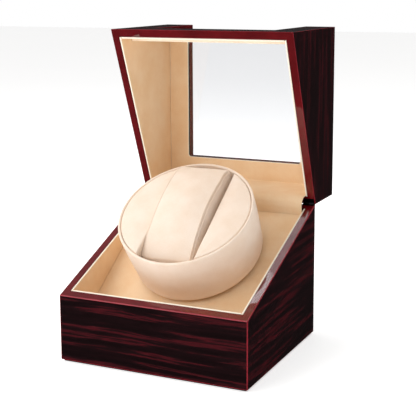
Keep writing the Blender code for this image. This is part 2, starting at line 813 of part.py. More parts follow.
def controls():
    back_panel = bpy.data.objects["base_back_panel"]
    z = CONTROLS_Z
    half_width = PLATE_WIDTH / 2
    half_height = PLATE_HEIGHT / 2
    plate_back = BACK - PLATE - 0.0002
    low = (-half_width - FIT, plate_back - FIT, z - half_height - FIT)
    high = (half_width + FIT, BACK + 0.01, z + half_height + FIT)
    boolean(back_panel, cutter("plate_recess", block(low, high)))
    lip = 0.004
    low = (-half_width + lip, INNER_BACK - 0.01, z - half_height + lip)
    high = (half_width - lip, BACK + 0.01, z + half_height - lip)
    boolean(back_panel, cutter("controls_opening", block(low, high)))

    low = (-half_width, plate_back, z - half_height)
    plate = block(low, (half_width, plate_back + PLATE, z + half_height))
    plate = piece("control_plate", plate, black_plastic())
    board_back = 0.0680
    board = block((-0.031, board_back - 0.0016, z - 0.013), (0.031, board_back, z + 0.013))
    piece("control_board", board, finish_material("circuit_board", "1f5b34", 0.5))

    front = plate_back - FIT
    pins_at = board_back + FIT
    power_socket(plate, pins_at, front, z)
    mode_switch(plate, pins_at, front, z)
    power_switch(plate, pins_at, front, z)
    for number, x in enumerate((-half_width + 0.0022, half_width - 0.0022), 1):
        shank = 0.0009
        hole = rod(shank + FIT, BACK - 0.0065, BACK + 0.004, 12, (x, 0, z), "Y")
        tool = cutter(f"plate_hole_{number}", hole)
        boolean(plate, tool)
        boolean(back_panel, tool)
        profile = screw_profile(shank, 0.0018, 0.0010, 0.0055)
        body = turned([(r, -h) for r, h in profile], 12, (x, plate_back + PLATE + FIT, z), "Y")
        smooth(piece(f"plate_screw_{number}", body, black_steel()))


def power_socket(plate, pins_at, front, z):
    """The low-voltage inlet: a barrel with a centre pin, behind a round hole."""
    barrel = 0.0043
    flange = 0.0060
    bore = 0.00275
    pin = 0.0010
    mouth = BACK + 0.0006
    profile = [
        (0, pins_at),
        (flange, pins_at),
        (flange, front),
        (barrel, front),
        (barrel, mouth),
        (bore, mouth),
        (bore, mouth - 0.009),
        (pin, mouth - 0.009),
        (pin, mouth - 0.0015),
        (0, mouth - 0.0015),
    ]
    body = turned(profile, 24, (SOCKET_X, 0, z), "Y")
    smooth(piece("power_socket", body, black_plastic()))
    hole = rod(barrel + FIT, front - 0.001, BACK + 0.002, 24, (SOCKET_X, 0, z), "Y")
    boolean(plate, cutter("socket_hole", hole))


def mode_switch(plate, pins_at, front, z):
    """A three-way slide switch, modelled at its middle way."""
    knob = 0.0022
    knob_height = 0.0018
    foot = front - 0.0025
    case = block((-0.009, pins_at, z - 0.0045), (0.009, front, z + 0.0045))
    case = piece("mode_switch_case", case, black_plastic())
    reach = knob + SWITCH_TRAVEL + 2 * FIT
    rise = knob_height + FIT
    slot = block((-reach, foot - FIT, z - rise), (reach, BACK + 0.002, z + rise))
    tool = cutter("mode_slot", slot)
    boolean(case, tool)
    boolean(plate, tool)
    button = block((-knob, foot, z - knob_height), (knob, BACK + 0.0016, z + knob_height))
    piece("mode_switch_knob", button, finish_material("grey_plastic", "55565a", 0.5))


def power_switch(plate, pins_at, front, z):
    """A rocker switch, whose rocker's origin is on its pivot."""
    half_width = 0.0072
    half_height = 0.0046
    wall = 0.0014
    room = 0.0007
    case_x = half_width + room + wall
    case_z = half_height + room + wall
    low = (ROCKER_X - case_x, pins_at, z - case_z)
    high = (ROCKER_X + case_x, front, z + case_z)
    case = piece("power_switch_case", block(low, high), black_plastic())
    low = (ROCKER_X - half_width - room, pins_at + 0.004, z - half_height - room)
    high = (ROCKER_X + half_width + room, BACK + 0.003, z + half_height + room)
    tool = cutter("rocker_room", block(low, high))
    boolean(case, tool)
    boolean(plate, tool)
    pivot_y = front - 0.0015
    deep = -0.0030
    proud = BACK + 0.0004 - pivot_y
    dished = proud - 0.0009
    outline = [
        (deep, -half_height * 0.7),
        (0, -half_height),
        (proud, -half_height),
        (dished, 0),
        (proud, half_height),
        (0, half_height),
        (deep, half_height * 0.7),
    ]
    profile = extruded(outline, -half_width, half_width, "X")
    rocker = piece("power_rocker", profile, black_plastic())
    rocker.location = (ROCKER_X, pivot_y, z)
    rocker.rotation_euler = (-ROCKER_TILT, 0, 0)


def motor_lead(axis, pinion_at):
    """The two-core lead from the motor's end to the board, lying on the bottom board."""
    bpy.context.view_layer.update()
    end = HOUSING_BOTTOM - FIT - MOTOR_LENGTH - FIT
    start = axis.matrix_world @ Vector((pinion_at.x, pinion_at.y, end))
    along = (axis.matrix_world.to_3x3() @ Vector((0, 0, -1))).normalized()
    radius = 0.0011
    floor = FELT + FIT + BOARD + FIT + radius
    finish = Vector((0.006, 0.0680 - 0.0016 - FIT, CONTROLS_Z - 0.006))
    route = [
        start,
        start + along * 0.006,
        Vector((start.x - 0.001, start.y + 0.012, floor + 0.004)),
        Vector((start.x - 0.003, start.y + 0.022, floor)),
        Vector((start.x - 0.006, finish.y - 0.018, floor + 0.002)),
        Vector((finish.x + 0.001, finish.y - 0.009, finish.z - 0.006)),
        finish + Vector((0, -0.004, 0)),
        finish,
    ]
    steps = 6
    points = []
    for i in range(len(route) - 1):
        before = route[max(i - 1, 0)]
        after = route[min(i + 2, len(route) - 1)]
        for k in range(steps):
            points.append(catmull(before, route[i], route[i + 1], after, k / steps))
    points.append(route[-1])
    curve = bpy.data.curves.new("motor_lead", "CURVE")
    curve.dimensions = "3D"
    curve.bevel_depth = radius
    curve.bevel_resolution = 2
    curve.use_fill_caps = True
    spline = curve.splines.new("POLY")
    spline.points.add(len(points) - 1)
    for slot, point in zip(spline.points, points):
        slot.co = (*point, 1)
    made = bpy.data.objects.new("motor_lead", curve)
    bpy.context.scene.collection.objects.link(made)
    curve.materials.append(finish_material("red_lead", "8a1d1d", 0.5))


def catmull(before, start, end, after, t):
    """A point between start and end on the smooth curve through all four."""
    return 0.5 * (
        2 * start
        + (end - before) * t
        + (2 * before - 5 * start + 4 * end - after) * t**2
        + (3 * start - before - 3 * end + after) * t**3
    )


def main():
    clear_scene()
    base_walls()
    base_underside()
    pad_face = base_liners()
    deck_panel = deck(pad_face)

    hinge = empty("lid_hinge", (0, BACK, BACK_SPLIT), -LID_OPEN)
    lid_walls(hinge)
    lined_top = lid_window(hinge)
    lid_liners(hinge, lined_top)
    hinge_leaves(hinge)

    axis = empty("drum_axis", SHAFT_AT, LEAN)
    drum(axis)
    pillow(axis)
    pinion_at = drive(axis, deck_panel)
    controls()
    motor_lead(axis, pinion_at)


main()
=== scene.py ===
"""The finished look of a single watch winder box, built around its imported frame, in metres.

Each operator makes one piece or one group of like pieces. Places and sizes come from the frame:
the lid's shapes are worked out shut and then swung open, and the drum's are worked out upright
and then leaned forward, each by the matrix that its joint gives.
"""

import json
import math

import bmesh
import bpy
from bpy.props import FloatProperty, FloatVectorProperty, IntProperty, PointerProperty
from mathutils import Matrix, Vector, noise

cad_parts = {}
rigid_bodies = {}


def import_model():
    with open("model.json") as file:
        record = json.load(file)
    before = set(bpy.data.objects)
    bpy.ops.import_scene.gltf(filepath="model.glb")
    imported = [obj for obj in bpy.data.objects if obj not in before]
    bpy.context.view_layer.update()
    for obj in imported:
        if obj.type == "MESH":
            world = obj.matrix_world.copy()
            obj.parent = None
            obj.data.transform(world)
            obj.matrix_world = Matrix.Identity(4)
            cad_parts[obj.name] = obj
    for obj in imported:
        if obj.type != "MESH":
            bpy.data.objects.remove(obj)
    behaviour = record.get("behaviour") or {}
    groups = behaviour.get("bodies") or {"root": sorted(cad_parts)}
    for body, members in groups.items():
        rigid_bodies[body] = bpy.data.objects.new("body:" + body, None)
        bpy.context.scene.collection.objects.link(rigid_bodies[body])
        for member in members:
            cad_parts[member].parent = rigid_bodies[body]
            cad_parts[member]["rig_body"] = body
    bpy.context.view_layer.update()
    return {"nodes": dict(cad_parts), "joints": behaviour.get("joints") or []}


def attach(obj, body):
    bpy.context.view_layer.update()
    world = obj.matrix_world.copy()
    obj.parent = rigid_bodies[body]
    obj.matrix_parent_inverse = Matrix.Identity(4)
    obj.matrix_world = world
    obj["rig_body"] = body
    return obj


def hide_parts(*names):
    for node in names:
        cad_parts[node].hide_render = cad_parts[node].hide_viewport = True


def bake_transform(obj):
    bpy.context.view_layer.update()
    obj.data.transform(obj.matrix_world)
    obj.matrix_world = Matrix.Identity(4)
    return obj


bl_info = {
    "name": "Watch Winder Box",
    "version": (1, 0, 0),
    "blender": (4, 5, 0),
    "location": "3D View > Sidebar > Winder",
    "description": "Builds a lacquered watch winder box with its drum and pillow around a frame",
    "category": "Add Mesh",
}

for thing in list(bpy.data.objects):
    bpy.data.objects.remove(thing, do_unlink=True)
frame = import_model()
joints = {joint["name"]: joint for joint in frame["joints"]}

PIVOT = Vector(joints["lid_hinge"]["pos_m"])
SWING = math.radians(joints["lid_hinge"]["range_deg"][1])
OPENED = Matrix.Translation(PIVOT) @ Matrix.Rotation(-SWING, 4, "X") @ Matrix.Translation(-PIVOT)
DRUM_AXIS = Vector(joints["drum_turn"]["axis"])
LEAN = math.atan2(-DRUM_AXIS.y, DRUM_AXIS.z)
DRUM = Matrix.Translation(joints["drum_turn"]["pos_m"]) @ Matrix.Rotation(LEAN, 4, "X")
AS_IS = Matrix.Identity(4)
FIT = 0.0003  # gap between pieces that touch


def points_of(node, placed=AS_IS):
    """A node's points in the frame that a matrix places, such as OPENED or DRUM."""
    back = placed.inverted()
    return [back @ vertex.co for vertex in frame["nodes"][node].data.vertices]


def span(node, placed=AS_IS):
    """A node's lowest and highest corners in the frame that a matrix places."""
    points = points_of(node, placed)
    return (Vector(map(min, *points)), Vector(map(max, *points)))


def split_slope():
    """The slope of the rims, from the inner and outer edges of the front panel's top."""
    low, high = span("base_front_panel")
    outer = max(p.z for p in points_of("base_front_panel") if p.y < low.y + FIT / 10)
    return math.atan2(high.z - outer, high.y - low.y)


SLOPE = split_slope()


def split_height(y, offset=0.0):
    """Height of the plane that splits the box, above a depth and moved off it squarely."""
    return PIVOT.z + (y - PIVOT.y) * math.tan(SLOPE) + offset / math.cos(SLOPE)


def linear(colour):
    """sRGB hex digits as linear red, green, blue and alpha."""
    channels = [int(colour[i : i + 2], 16) / 255 for i in (0, 2, 4)]
    return (*[c / 12.92 if c <= 0.04045 else ((c + 0.055) / 1.055) ** 2.4 for c in channels], 1)


# Settings, as a user would change them.


def length(name, description, default):
    return FloatProperty(
        name=name, description=description, default=default, min=0, precision=5, unit="LENGTH"
    )


def amount(name, description, default):
    return FloatProperty(name=name, description=description, default=default, min=0)


def power(name, description, default):
    return FloatProperty(name=name, description=description, default=default, unit="POWER")


def colour(name, description, digits):
    return FloatVectorProperty(
        name=name,
        description=description,
        default=linear(digits),
        size=4,
        min=0,
        max=1,
        subtype="COLOR",
    )


class LacquerSettings(bpy.types.PropertyGroup):
    """The lacquered case."""

    ground: colour("Ground", "Darkest wood between the streaks", "150608")
    wood: colour("Wood", "Dark wood", "1f090d")
    streak: colour("Streak", "Red-brown streaks of the veneer", "4c0a14")
    rim: colour("Rim", "Stained edges of the walls, under lacquer", "66040d")
    # The eased edges' brighter red is the stain with a painted highlight, where light catches the
    # rounded corners.
    eased: colour("Eased edge", "Rubbed-through corners, where the stain is thin", "9a2632")
    edge: length("Edge radius", "How far the lacquered corners are eased", 0.0008)
    corner: length("Window corner", "Radius of the window's corners", 0.0032)
    figure: length("Streak spacing", "Width of a streak across the grain", 0.0042)
    wander: length("Wander", "How far a streak wanders off a straight line", 0.0050)


class SuedeSettings(bpy.types.PropertyGroup):
    """The brushed microfibre that covers the inside."""

    lining: colour("Lining", "Cream cover of the walls and the deck", "f4d8b4")
    shade: colour("Brushed nap", "Cream where the nap lies the other way", "eecba0")
    edge: colour("Turned edge", "Edges where the cover is pulled tight", "fff3e0")
    drum: colour("Drum", "Lighter cream of the drum and the pillow", "f6e4d3")
    drum_shade: colour("Drum nap", "Drum's cream where the nap lies the other way", "f0dac5")
    fold: length("Turned edge radius", "Radius of a covered board's edges", 0.0005)
    seam: length("Seam cord", "Radius of the cord in a seam", 0.00045)
    strip: length("Strip thickness", "Thickness of the strip over the hinge", 0.0009)


class DrumSettings(bpy.types.PropertyGroup):
    """The drum and its padded faces."""

    steps: IntProperty(name="Steps", description="Faces round the drum", default=144, min=24)
    roll: length("Rolled rim", "Radius of the rolled rim", 0.00125)
    face_edge: length("Face edge", "Radius of a padded face's edge", 0.0014)
    crown: length("Crown", "How far a padded face stands up in its middle", 0.0009)
    wider: length("Wider gap", "How much wider the gap is on the pillow's right", 0.0028)
    seat: length("Seat", "Depth of the step that a padded face sits in", 0.0060)


class PillowSettings(bpy.types.PropertyGroup):
    """The stuffed watch pillow."""

    pressure: amount("Pressure", "Push of the filling on the cover", 3.0)
    most: length("Most swell", "The furthest that a point of the cover may move", 0.0015)
    round_over: length("Round-over", "Radius along the seams", 0.0012)
    plump: length("Plump ends", "How far the ends stand above the plain cushion's", 0.0026)
    reach: length("Back reach", "How far the back end is pushed out to the rim", 0.0034)
    lean: length("Side lean", "How far the right seam is drawn in from the slot's wall", 0.0042)
    arch: length("Arch", "How far the top stands above its seams", 0.0030)
    creases: length("Creases", "Depth of the creases at the back corner", 0.0016)
    seed: IntProperty(name="Seed", description="Seed of the small creases", default=4, min=0)


class StageSettings(bpy.types.PropertyGroup):
    """Floor, light and camera."""

    lens: FloatProperty(
        name="Lens", description="Focal length", default=90.7, min=1, unit="CAMERA"
    )
    floor: colour("Floor", "Pale floor", "f6f5f4")
    glow: amount("Floor glow", "Strength of the floor's own glow", 0.56)
    key: power("Key light", "Power of the light above", 11)
    fill: power("Fill light", "Power of the front light", 12)
    sheen: power("Rim light", "Power of the light the rims mirror", 2.4)
    ambient: amount("Ambient", "Strength of the white surroundings", 0.64)


def settings(name):
    return getattr(bpy.context.scene, name)


# Making pieces.


def extruded(outline, low, high, axis="Z"):
    """A bmesh of an outline drawn across an axis, from low to high along it."""
    place = {
        "X": lambda a, b, t: (t, a, b),
        "Y": lambda a, b, t: (a, t, b),
        "Z": lambda a, b, t: (a, b, t),
    }[axis]
    made = bmesh.new()
    near = [made.verts.new(place(a, b, low)) for a, b in outline]
    far = [made.verts.new(place(a, b, high)) for a, b in outline]
    made.faces.new(near)
    made.faces.new(far)
    for i in range(len(outline)):
        j = (i + 1) % len(outline)
        made.faces.new((near[i], near[j], far[j], far[i]))
    bmesh.ops.recalc_face_normals(made, faces=made.faces)
    return made


def block(low, high):
    outline = [(low[0], low[1]), (high[0], low[1]), (high[0], high[1]), (low[0], high[1])]
    return extruded(outline, low[2], high[2])


def turned(profile, steps, closed=False):
    """A bmesh of a profile of (radius, height) points turned about Z."""
    made = bmesh.new()
    verts = [made.verts.new((radius, 0, height)) for radius, height in profile]
    ends = verts + verts[:1] if closed else verts
    edges = [made.edges.new(pair) for pair in zip(ends, ends[1:])]
    bmesh.ops.spin(
        made, geom=verts + edges, cent=(0, 0, 0), axis=(0, 0, 1), angle=math.tau, steps=steps
    )
    bmesh.ops.remove_doubles(made, verts=made.verts, dist=1e-7)
    bmesh.ops.recalc_face_normals(made, faces=made.faces)
    return made


def arc(centre, radius, start, end, steps):
    """Points of an arc, from a start to an end angle in degrees."""
    turns = [math.radians(start + (end - start) * i / steps) for i in range(steps + 1)]
    return [(centre[0] + radius * math.cos(a), centre[1] + radius * math.sin(a)) for a in turns]


def smoothed(points, steps):
    """Points of the smooth curve through some points, steps to each stretch."""
    found = []
    for i in range(len(points) - 1):
        before, start, end = (Vector(points[max(j, 0)]) for j in (i - 1, i, i + 1))
        after = Vector(points[min(i + 2, len(points) - 1)])
        for t in (step / steps for step in range(steps)):
            found.append(
                0.5
                * (
                    2 * start
                    + (end - before) * t
                    + (2 * before - 5 * start + 4 * end - after) * t**2
                    + (3 * start - before - 3 * end + after) * t**3
                )
            )
    return found + [Vector(points[-1])]


def joined(made, loops, closed=True):
    """Joins each row of points to the next by a band of faces."""
    for lower, upper in zip(loops, loops[1:]):
        for i in range(len(lower) if closed else len(lower) - 1):
            j = (i + 1) % len(lower)
            made.faces.new((lower[i], lower[j], upper[j], upper[i]))


def sharp(made, degrees=30):
    return [e for e in made.edges if e.is_manifold and e.calc_face_angle(0) > math.radians(degrees)]


def ease(made, edges, width, steps=3, material=-1):
    bmesh.ops.bevel(
        made,
        geom=edges,
        offset=width,
        offset_type="OFFSET",
        segments=steps,
        profile=0.5,
        affect="EDGES",
        clamp_overlap=True,
        material=material,
    )


def new_object(name, made, materials=(), placed=AS_IS):
    """An object of a bmesh, with its place in its mesh."""
    made.transform(placed)
    mesh = bpy.data.meshes.new(name)
    made.to_mesh(mesh)
    made.free()
    for finish in materials:
        mesh.materials.append(finish)
    found = bpy.data.objects.new(name, mesh)
    bpy.context.scene.collection.objects.link(found)
    return found


def helper(name, made, placed=AS_IS):
    """A hidden object, such as a cutter, which discard() removes again."""
    found = new_object(name, made, placed=placed)
    found.hide_render = True
    return found


def discard(thing):
    mesh = thing.data
    bpy.data.objects.remove(thing)
    bpy.data.meshes.remove(mesh)


def settle(thing):
    """Turns what an object's modifiers make into its own plain mesh."""
    bpy.context.view_layer.update()
    graph = bpy.context.evaluated_depsgraph_get()
    old = thing.data
    made = bpy.data.meshes.new_from_object(thing.evaluated_get(graph), depsgraph=graph)
    thing.modifiers.clear()
    thing.data = made
    bpy.data.meshes.remove(old)
    made.name = thing.name
    return thing


def cut(thing, *tools):
    """Cuts hidden tools out of an object, and removes them."""
    for tool in tools:
        modifier = thing.modifiers.new(tool.name, "BOOLEAN")
        modifier.object = tool
    settle(thing)
    for tool in tools:
        discard(tool)


def shade(thing, degrees=40, weighted=True):
    """Smooth shading that stays crisp at sharp edges and flat on the broad faces."""
    thing.data.shade_smooth()
    thing.data.set_sharp_from_angle(angle=math.radians(degrees))
    if weighted:
        modifier = thing.modifiers.new("weighted", "WEIGHTED_NORMAL")
        modifier.keep_sharp = True
        settle(thing)
    return thing


def subdivide(thing, levels=1):
    modifier = thing.modifiers.new("subdivision", "SUBSURF")
    modifier.levels = levels
    modifier.render_levels = levels
    return settle(thing)


def fitted(thing, body, slot, *nodes):
    """Puts a finished piece on its body and hides the nodes that it stands for; slot is not used.
    """
    if nodes:
        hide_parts(*nodes)
    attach(thing, body)
    return thing


def body_of(node):
    return frame["nodes"][node]["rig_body"]


def refined(node, width, slot, *materials, steps=2, corners=None, radius=0.0):
    """A copy of a node with its corners eased, which stands for it.

    corners tells which edges are rounded first, to a radius. A narrow face takes the last material.
    """
    made = bmesh.new()
    made.from_mesh(frame["nodes"][node].data)
    bmesh.ops.remove_doubles(made, verts=made.verts, dist=1e-6)
    limit = math.radians(1)
    bmesh.ops.dissolve_limit(made, angle_limit=limit, verts=made.verts, edges=made.edges)
    narrow = 0.0006  # square metres
    for face in made.faces:
        face.material_index = len(materials) - 1 if face.calc_area() < narrow else 0
    if corners:
        ease(made, [edge for edge in made.edges if corners(edge)], radius, 5)
    if width:
        ease(made, sharp(made), width, steps, material=len(materials) - 1)
    thing = shade(new_object(f"{node}_finished", made, materials))
    return fitted(thing, body_of(node), slot, node)


def repaint(material, *nodes):
    """Gives carried-over nodes a better material."""
    for node in nodes:
        frame["nodes"][node].material_slots[0].material = material


# Geometry Nodes and material nodes share one way to add a node.


def add(tree, kind, links=None, **values):
    """Adds a node with its settings. links gives each input a value, a socket or a node."""
    node = tree.nodes.new(kind)
    for name, value in values.items():
        setattr(node, name, value)
    for name, source in (links or {}).items():
        if isinstance(source, bpy.types.Node):
            source = next(socket for socket in source.outputs if socket.enabled)
        if isinstance(source, bpy.types.NodeSocket):
            tree.links.new(source, node.inputs[name])
        else:
            node.inputs[name].default_value = source
    return node


def new_tree(name, **inputs):
    """A Geometry Nodes tree with named inputs, and its input node."""
    tree = bpy.data.node_groups.new(name, "GeometryNodeTree")
    tree.interface.new_socket("Geometry", in_out="OUTPUT", socket_type="NodeSocketGeometry")
    tree.interface.new_socket("Geometry", in_out="INPUT", socket_type="NodeSocketGeometry")
    for label, kind in inputs.items():
        tree.interface.new_socket(label, in_out="INPUT", socket_type=f"NodeSocket{kind}")
    return tree, add(tree, "NodeGroupInput")


def end_tree(tree, shape, material):
    real = add(tree, "GeometryNodeRealizeInstances", {"Geometry": shape})
    painted = add(tree, "GeometryNodeSetMaterial", {"Geometry": real, "Material": material})
    add(tree, "NodeGroupOutput", {"Geometry": painted})


def cord_tree():
    """A round cord along a line of edges."""
    tree, start = new_tree("seam_cord", Radius="Float", Spacing="Float", Material="Material")
    line = add(tree, "GeometryNodeMeshToCurve", {"Mesh": start.outputs["Geometry"]})
    links = {"Curve": line, "Length": start.outputs["Spacing"]}
    even = add(tree, "GeometryNodeResampleCurve", links, mode="LENGTH")
    links = {"Resolution": 8, "Radius": start.outputs["Radius"]}
    ring = add(tree, "GeometryNodeCurvePrimitiveCircle", links)
    links = {"Curve": even, "Profile Curve": ring, "Fill Caps": True}
    cord = add(tree, "GeometryNodeCurveToMesh", links)
    end_tree(tree, cord, start.outputs["Material"])
    return tree


def screws_tree():
    """One screw head at each point, pointing the way that the point's facing says."""
    tree, start = new_tree("screw_heads", Screw="Object", Material="Material")
    head = add(tree, "GeometryNodeObjectInfo", {"Object": start.outputs["Screw"]})
    facing = add(tree, "GeometryNodeInputNamedAttribute", {"Name": "facing"})
    facing.data_type = "FLOAT_VECTOR"
    direction = next(socket for socket in facing.outputs if socket.enabled)
    turn = add(tree, "FunctionNodeAlignRotationToVector", {"Vector": direction}, axis="Z")
    links = {
        "Points": start.outputs["Geometry"],
        "Instance": head.outputs["Geometry"],
        "Rotation": turn,
    }
    placed = add(tree, "GeometryNodeInstanceOnPoints", links)
    end_tree(tree, placed, start.outputs["Material"])
    return tree


def grown(thing, tree, **inputs):
    """Makes an object's mesh what a Geometry Nodes tree grows from it."""
    modifier = thing.modifiers.new(tree.name, "NODES")
    modifier.node_group = tree
    for label, value in inputs.items():
        modifier[tree.interface.items_tree[label].identifier] = value
    settle(thing)
    return thing


def line_object(name, runs, closed=False):
    """An object of edges along each run of points."""
    made = bmesh.new()
    for run in runs:
        verts = [made.verts.new(point) for point in run]
        ends = verts + verts[:1] if closed else verts
        for pair in zip(ends, ends[1:]):
            made.edges.new(pair)
    return new_object(name, made)


def cords(name, runs, radius, material, closed=False):
    thing = line_object(name, runs, closed)
    inputs = {"Radius": radius, "Spacing": radius * 2.5, "Material": material}
    grown(thing, cord_tree(), **inputs)
    return shade(thing, 60, weighted=False)


def screw_heads(name, places, radius, material):
    """Countersunk cross-head screws, flush at (point, facing) places."""
    depth = radius * 0.35
    made = turned([(0, -depth), (radius * 0.7, -depth), (radius, 0), (0, radius * 0.12)], 20)
    head = helper("screw_head", made)
    arm, reach = radius * 0.11, radius * 0.55
    crossed = [(arm, reach), (reach, arm)]
    tools = [
        helper(f"slot_{i}", block((-x, -y, -depth * 0.6), (x, y, radius)))
        for i, (x, y) in enumerate(crossed)
    ]
    cut(head, *tools)
    made = bmesh.new()
    facing = made.verts.layers.float_vector.new("facing")
    for point, direction in places:
        made.verts.new(point)[facing] = direction
    thing = grown(new_object(name, made), screws_tree(), Screw=head, Material=material)
    discard(head)
    return shade(thing, 35, weighted=False)


# Materials. Colours are sRGB hex digits or settings, turned to linear.


def new_material(name, **inputs):
    """A Principled material, with its tree and shader. Underscores stand for spaces."""
    made = bpy.data.materials.new(name)
    made.use_nodes = True
    shader = made.node_tree.nodes["Principled BSDF"]
    for label, value in inputs.items():
        shader.inputs[label.replace("_", " ")].default_value = value
    return made, made.node_tree, shader


def once(make):
    """Makes a material on its first call and finds it again on later ones."""

    def found(*choices):
        key = (make.__name__, *choices)
        if key not in made_materials:
            made_materials[key] = make(*choices)
        return made_materials[key]

    return found


made_materials = {}


def object_place(tree, scale=(1, 1, 1)):
    place = add(tree, "ShaderNodeTexCoord").outputs["Object"]
    return add(tree, "ShaderNodeMapping", {"Vector": place, "Scale": scale})


def grains(tree, vector, spacing, detail=3.0, roughness=0.55):
    """Noise whose patches are about a spacing wide, in metres."""
    links = {"Vector": vector, "Scale": 1 / spacing, "Detail": detail, "Roughness": roughness}
    return add(tree, "ShaderNodeTexNoise", links).outputs["Fac"]


def ramp(tree, factor, *stops):
    """A colour ramp of (position, colour) stops."""
    node = add(tree, "ShaderNodeValToRGB", {"Fac": factor})
    for i, (position, value) in enumerate(stops):
        stop = node.color_ramp.elements[i] if i < 2 else node.color_ramp.elements.new(position)
        stop.position = position
        stop.color = linear(value) if isinstance(value, str) else value
    return node.outputs["Color"]


def raise_surface(tree, shader, height, distance, strength=1.0):
    links = {"Height": height, "Distance": distance, "Strength": strength}
    bump = add(tree, "ShaderNodeBump", links)
    tree.links.new(bump.outputs["Normal"], shader.inputs["Normal"])


@once
def veneer(along):
    """Macassar ebony veneer, filled and sprayed with polyester lacquer, then buffed.

    Near-black wood with red-brown streaks along the grain, under a deep, mirror-smooth coat.
    """
    look = settings("winder_lacquer")
    made, tree, shader = new_material(
        f"macassar_lacquer_{along.lower()}",
        Roughness=0.32,
        IOR=1.5,
        Specular_IOR_Level=0.2,
        Coat_Weight=0.6,
        Coat_Roughness=0.05,
        Coat_IOR=1.5,
    )
    stretch = 0.030  # pattern's scale along the grain, so streaks are 33 times longer than wide
    scale = [stretch if axis == along else 1 for axis in "XYZ"]
    bend = [0.25 if axis == along else 0.45 for axis in "XYZ"]
    sway = grains(tree, object_place(tree, bend), 0.030, 1.0)
    links = {0: sway, 1: 0.5}
    centred = add(tree, "ShaderNodeMath", links, operation="SUBTRACT")
    links = {0: centred, 1: 2 * look.wander}
    moved = add(tree, "ShaderNodeMath", links, operation="MULTIPLY")
    place = add(tree, "ShaderNodeTexCoord").outputs["Object"]
    swayed = add(tree, "ShaderNodeVectorMath", {0: place, 1: moved}, operation="ADD")
    vector = add(tree, "ShaderNodeMapping", {"Vector": swayed, "Scale": scale})
    broad = grains(tree, vector, look.figure, 4.0, 0.55)
    fine = grains(tree, vector, look.figure / 7, 2.0)
    mixed = add(tree, "ShaderNodeMix", {"Factor": 0.15, "A": broad, "B": fine})
    figure = ramp(
        tree,
        mixed,
        (0.42, look.ground),
        (0.53, look.wood),
        (0.59, look.streak),
        (0.65, look.wood),
        (0.72, look.ground),
    )
    tree.links.new(figure, shader.inputs["Base Color"])
    orange_peel = grains(tree, object_place(tree), 0.012, 1.0)
    raise_surface(tree, shader, orange_peel, 0.00004, 0.6)
    return made


@once
def stained_edge(thin):
    """Stained solid edges under the same lacquer; thin gives the eased edges a brighter red, a
    painted highlight.
    """
    look = settings("winder_lacquer")
    made, tree, shader = new_material(
        "eased_edge_lacquer" if thin else "stained_rim_lacquer",
        Roughness=0.4,
        IOR=1.5,
        Specular_IOR_Level=0.1,
        Coat_Weight=1.0,
        Coat_Roughness=0.04,
        Coat_IOR=1.5,
    )
    worn = grains(tree, object_place(tree), 0.020, 2.0)
    # The eased edges' brighter red paints the highlight that light leaves on their rounded corners.
    base = look.eased if thin else look.rim
    darker = [channel * 0.75 for channel in base[:3]] + [1]
    mixed = ramp(tree, worn, (0.35, darker), (0.62, base))
    tree.links.new(mixed, shader.inputs["Base Color"])
    return made


@once
def suede(kind):
    """Microfibre suede, brushed: matt, with a soft nap whose shade changes with its lie."""
    look = settings("winder_suede")
    light, dark = {
        "lining": (look.lining, look.shade),
        "edge": (look.edge, [channel * 0.95 for channel in look.edge[:3]] + [1]),
        "drum": (look.drum, look.drum_shade),
    }[kind]
    made, tree, shader = new_material(
        f"suede_{kind}",
        Roughness=0.92,
        IOR=1.45,
        Specular_IOR_Level=0.2,
        Sheen_Weight=0.22,
        Sheen_Roughness=0.45,
        Sheen_Tint=linear("fff0df"),
    )
    place = object_place(tree)
    lie = grains(tree, place, 0.022, 3.0)
    # The nap's fibres are about 0.1 mm long; their tufts are drawn 0.7 mm wide so that they show.
    tufts = grains(tree, place, 0.0007, 2.0)
    mixed = add(tree, "ShaderNodeMix", {"Factor": 0.35, "A": lie, "B": tufts})
    nap = ramp(tree, mixed, (0.36, dark), (0.60, light))
    tree.links.new(nap, shader.inputs["Base Color"])
    raise_surface(tree, shader, tufts, 0.00007, 0.55)
    return made


@once
def clear_acrylic():
    """Cast acrylic sheet, polished: clear and smooth, with the faint grey of its thickness."""
    made, tree, shader = new_material(
        "cast_acrylic",
        Roughness=0.01,
        IOR=1.49,
        Transmission_Weight=1.0,
        Base_Color=linear("f4f5f7"),
    )
    raise_surface(tree, shader, grains(tree, object_place(tree), 0.05, 1.0), 0.00002, 0.3)
    return made


@once
def plain(name, light, dark, roughness, spacing, depth, metallic):
    """A solid colour with the small change of shade and height that its making leaves."""
    made, tree, shader = new_material(name, Roughness=roughness, Metallic=metallic)
    place = object_place(tree)
    patches = grains(tree, place, spacing)
    mixed = ramp(tree, patches, (0.35, dark), (0.65, light))
    tree.links.new(mixed, shader.inputs["Base Color"])
    low, high = max(roughness - 0.08, 0.02), min(roughness + 0.10, 1)
    links = {"Value": patches, "From Min": 0.3, "From Max": 0.7, "To Min": low, "To Max": high}
    varied = add(tree, "ShaderNodeMapRange", links)
    tree.links.new(varied.outputs["Result"], shader.inputs["Roughness"])
    raise_surface(tree, shader, patches, depth)
    return made


def rubber():
    # Extruded EPDM foam tape: matt black, finely pitted.
    return plain("epdm_rubber", "17171a", "0b0b0d", 0.75, 0.0006, 0.00005, 0)


def black_steel():
    # Steel, stamped and black electroplated: smooth, dark and half bright.
    return plain("black_plated_steel", "26262a", "141417", 0.30, 0.0020, 0.00001, 1)


def zinc_steel():
    # Steel, turned and zinc plated: bright, with faint clouds.
    return plain("zinc_plated_steel", "c6c8cc", "9fa2a8", 0.28, 0.0030, 0.00001, 1)


def bronze():
    # Bronze, sintered: dull gold, finely porous.
    return plain("sintered_bronze", "b58c50", "8a6636", 0.45, 0.0005, 0.00003, 1)


def nylon():
    # Nylon, injection moulded: milky white and slightly waxy.
    return plain("moulded_nylon", "ebe8df", "dcd8cc", 0.42, 0.0020, 0.00002, 0)


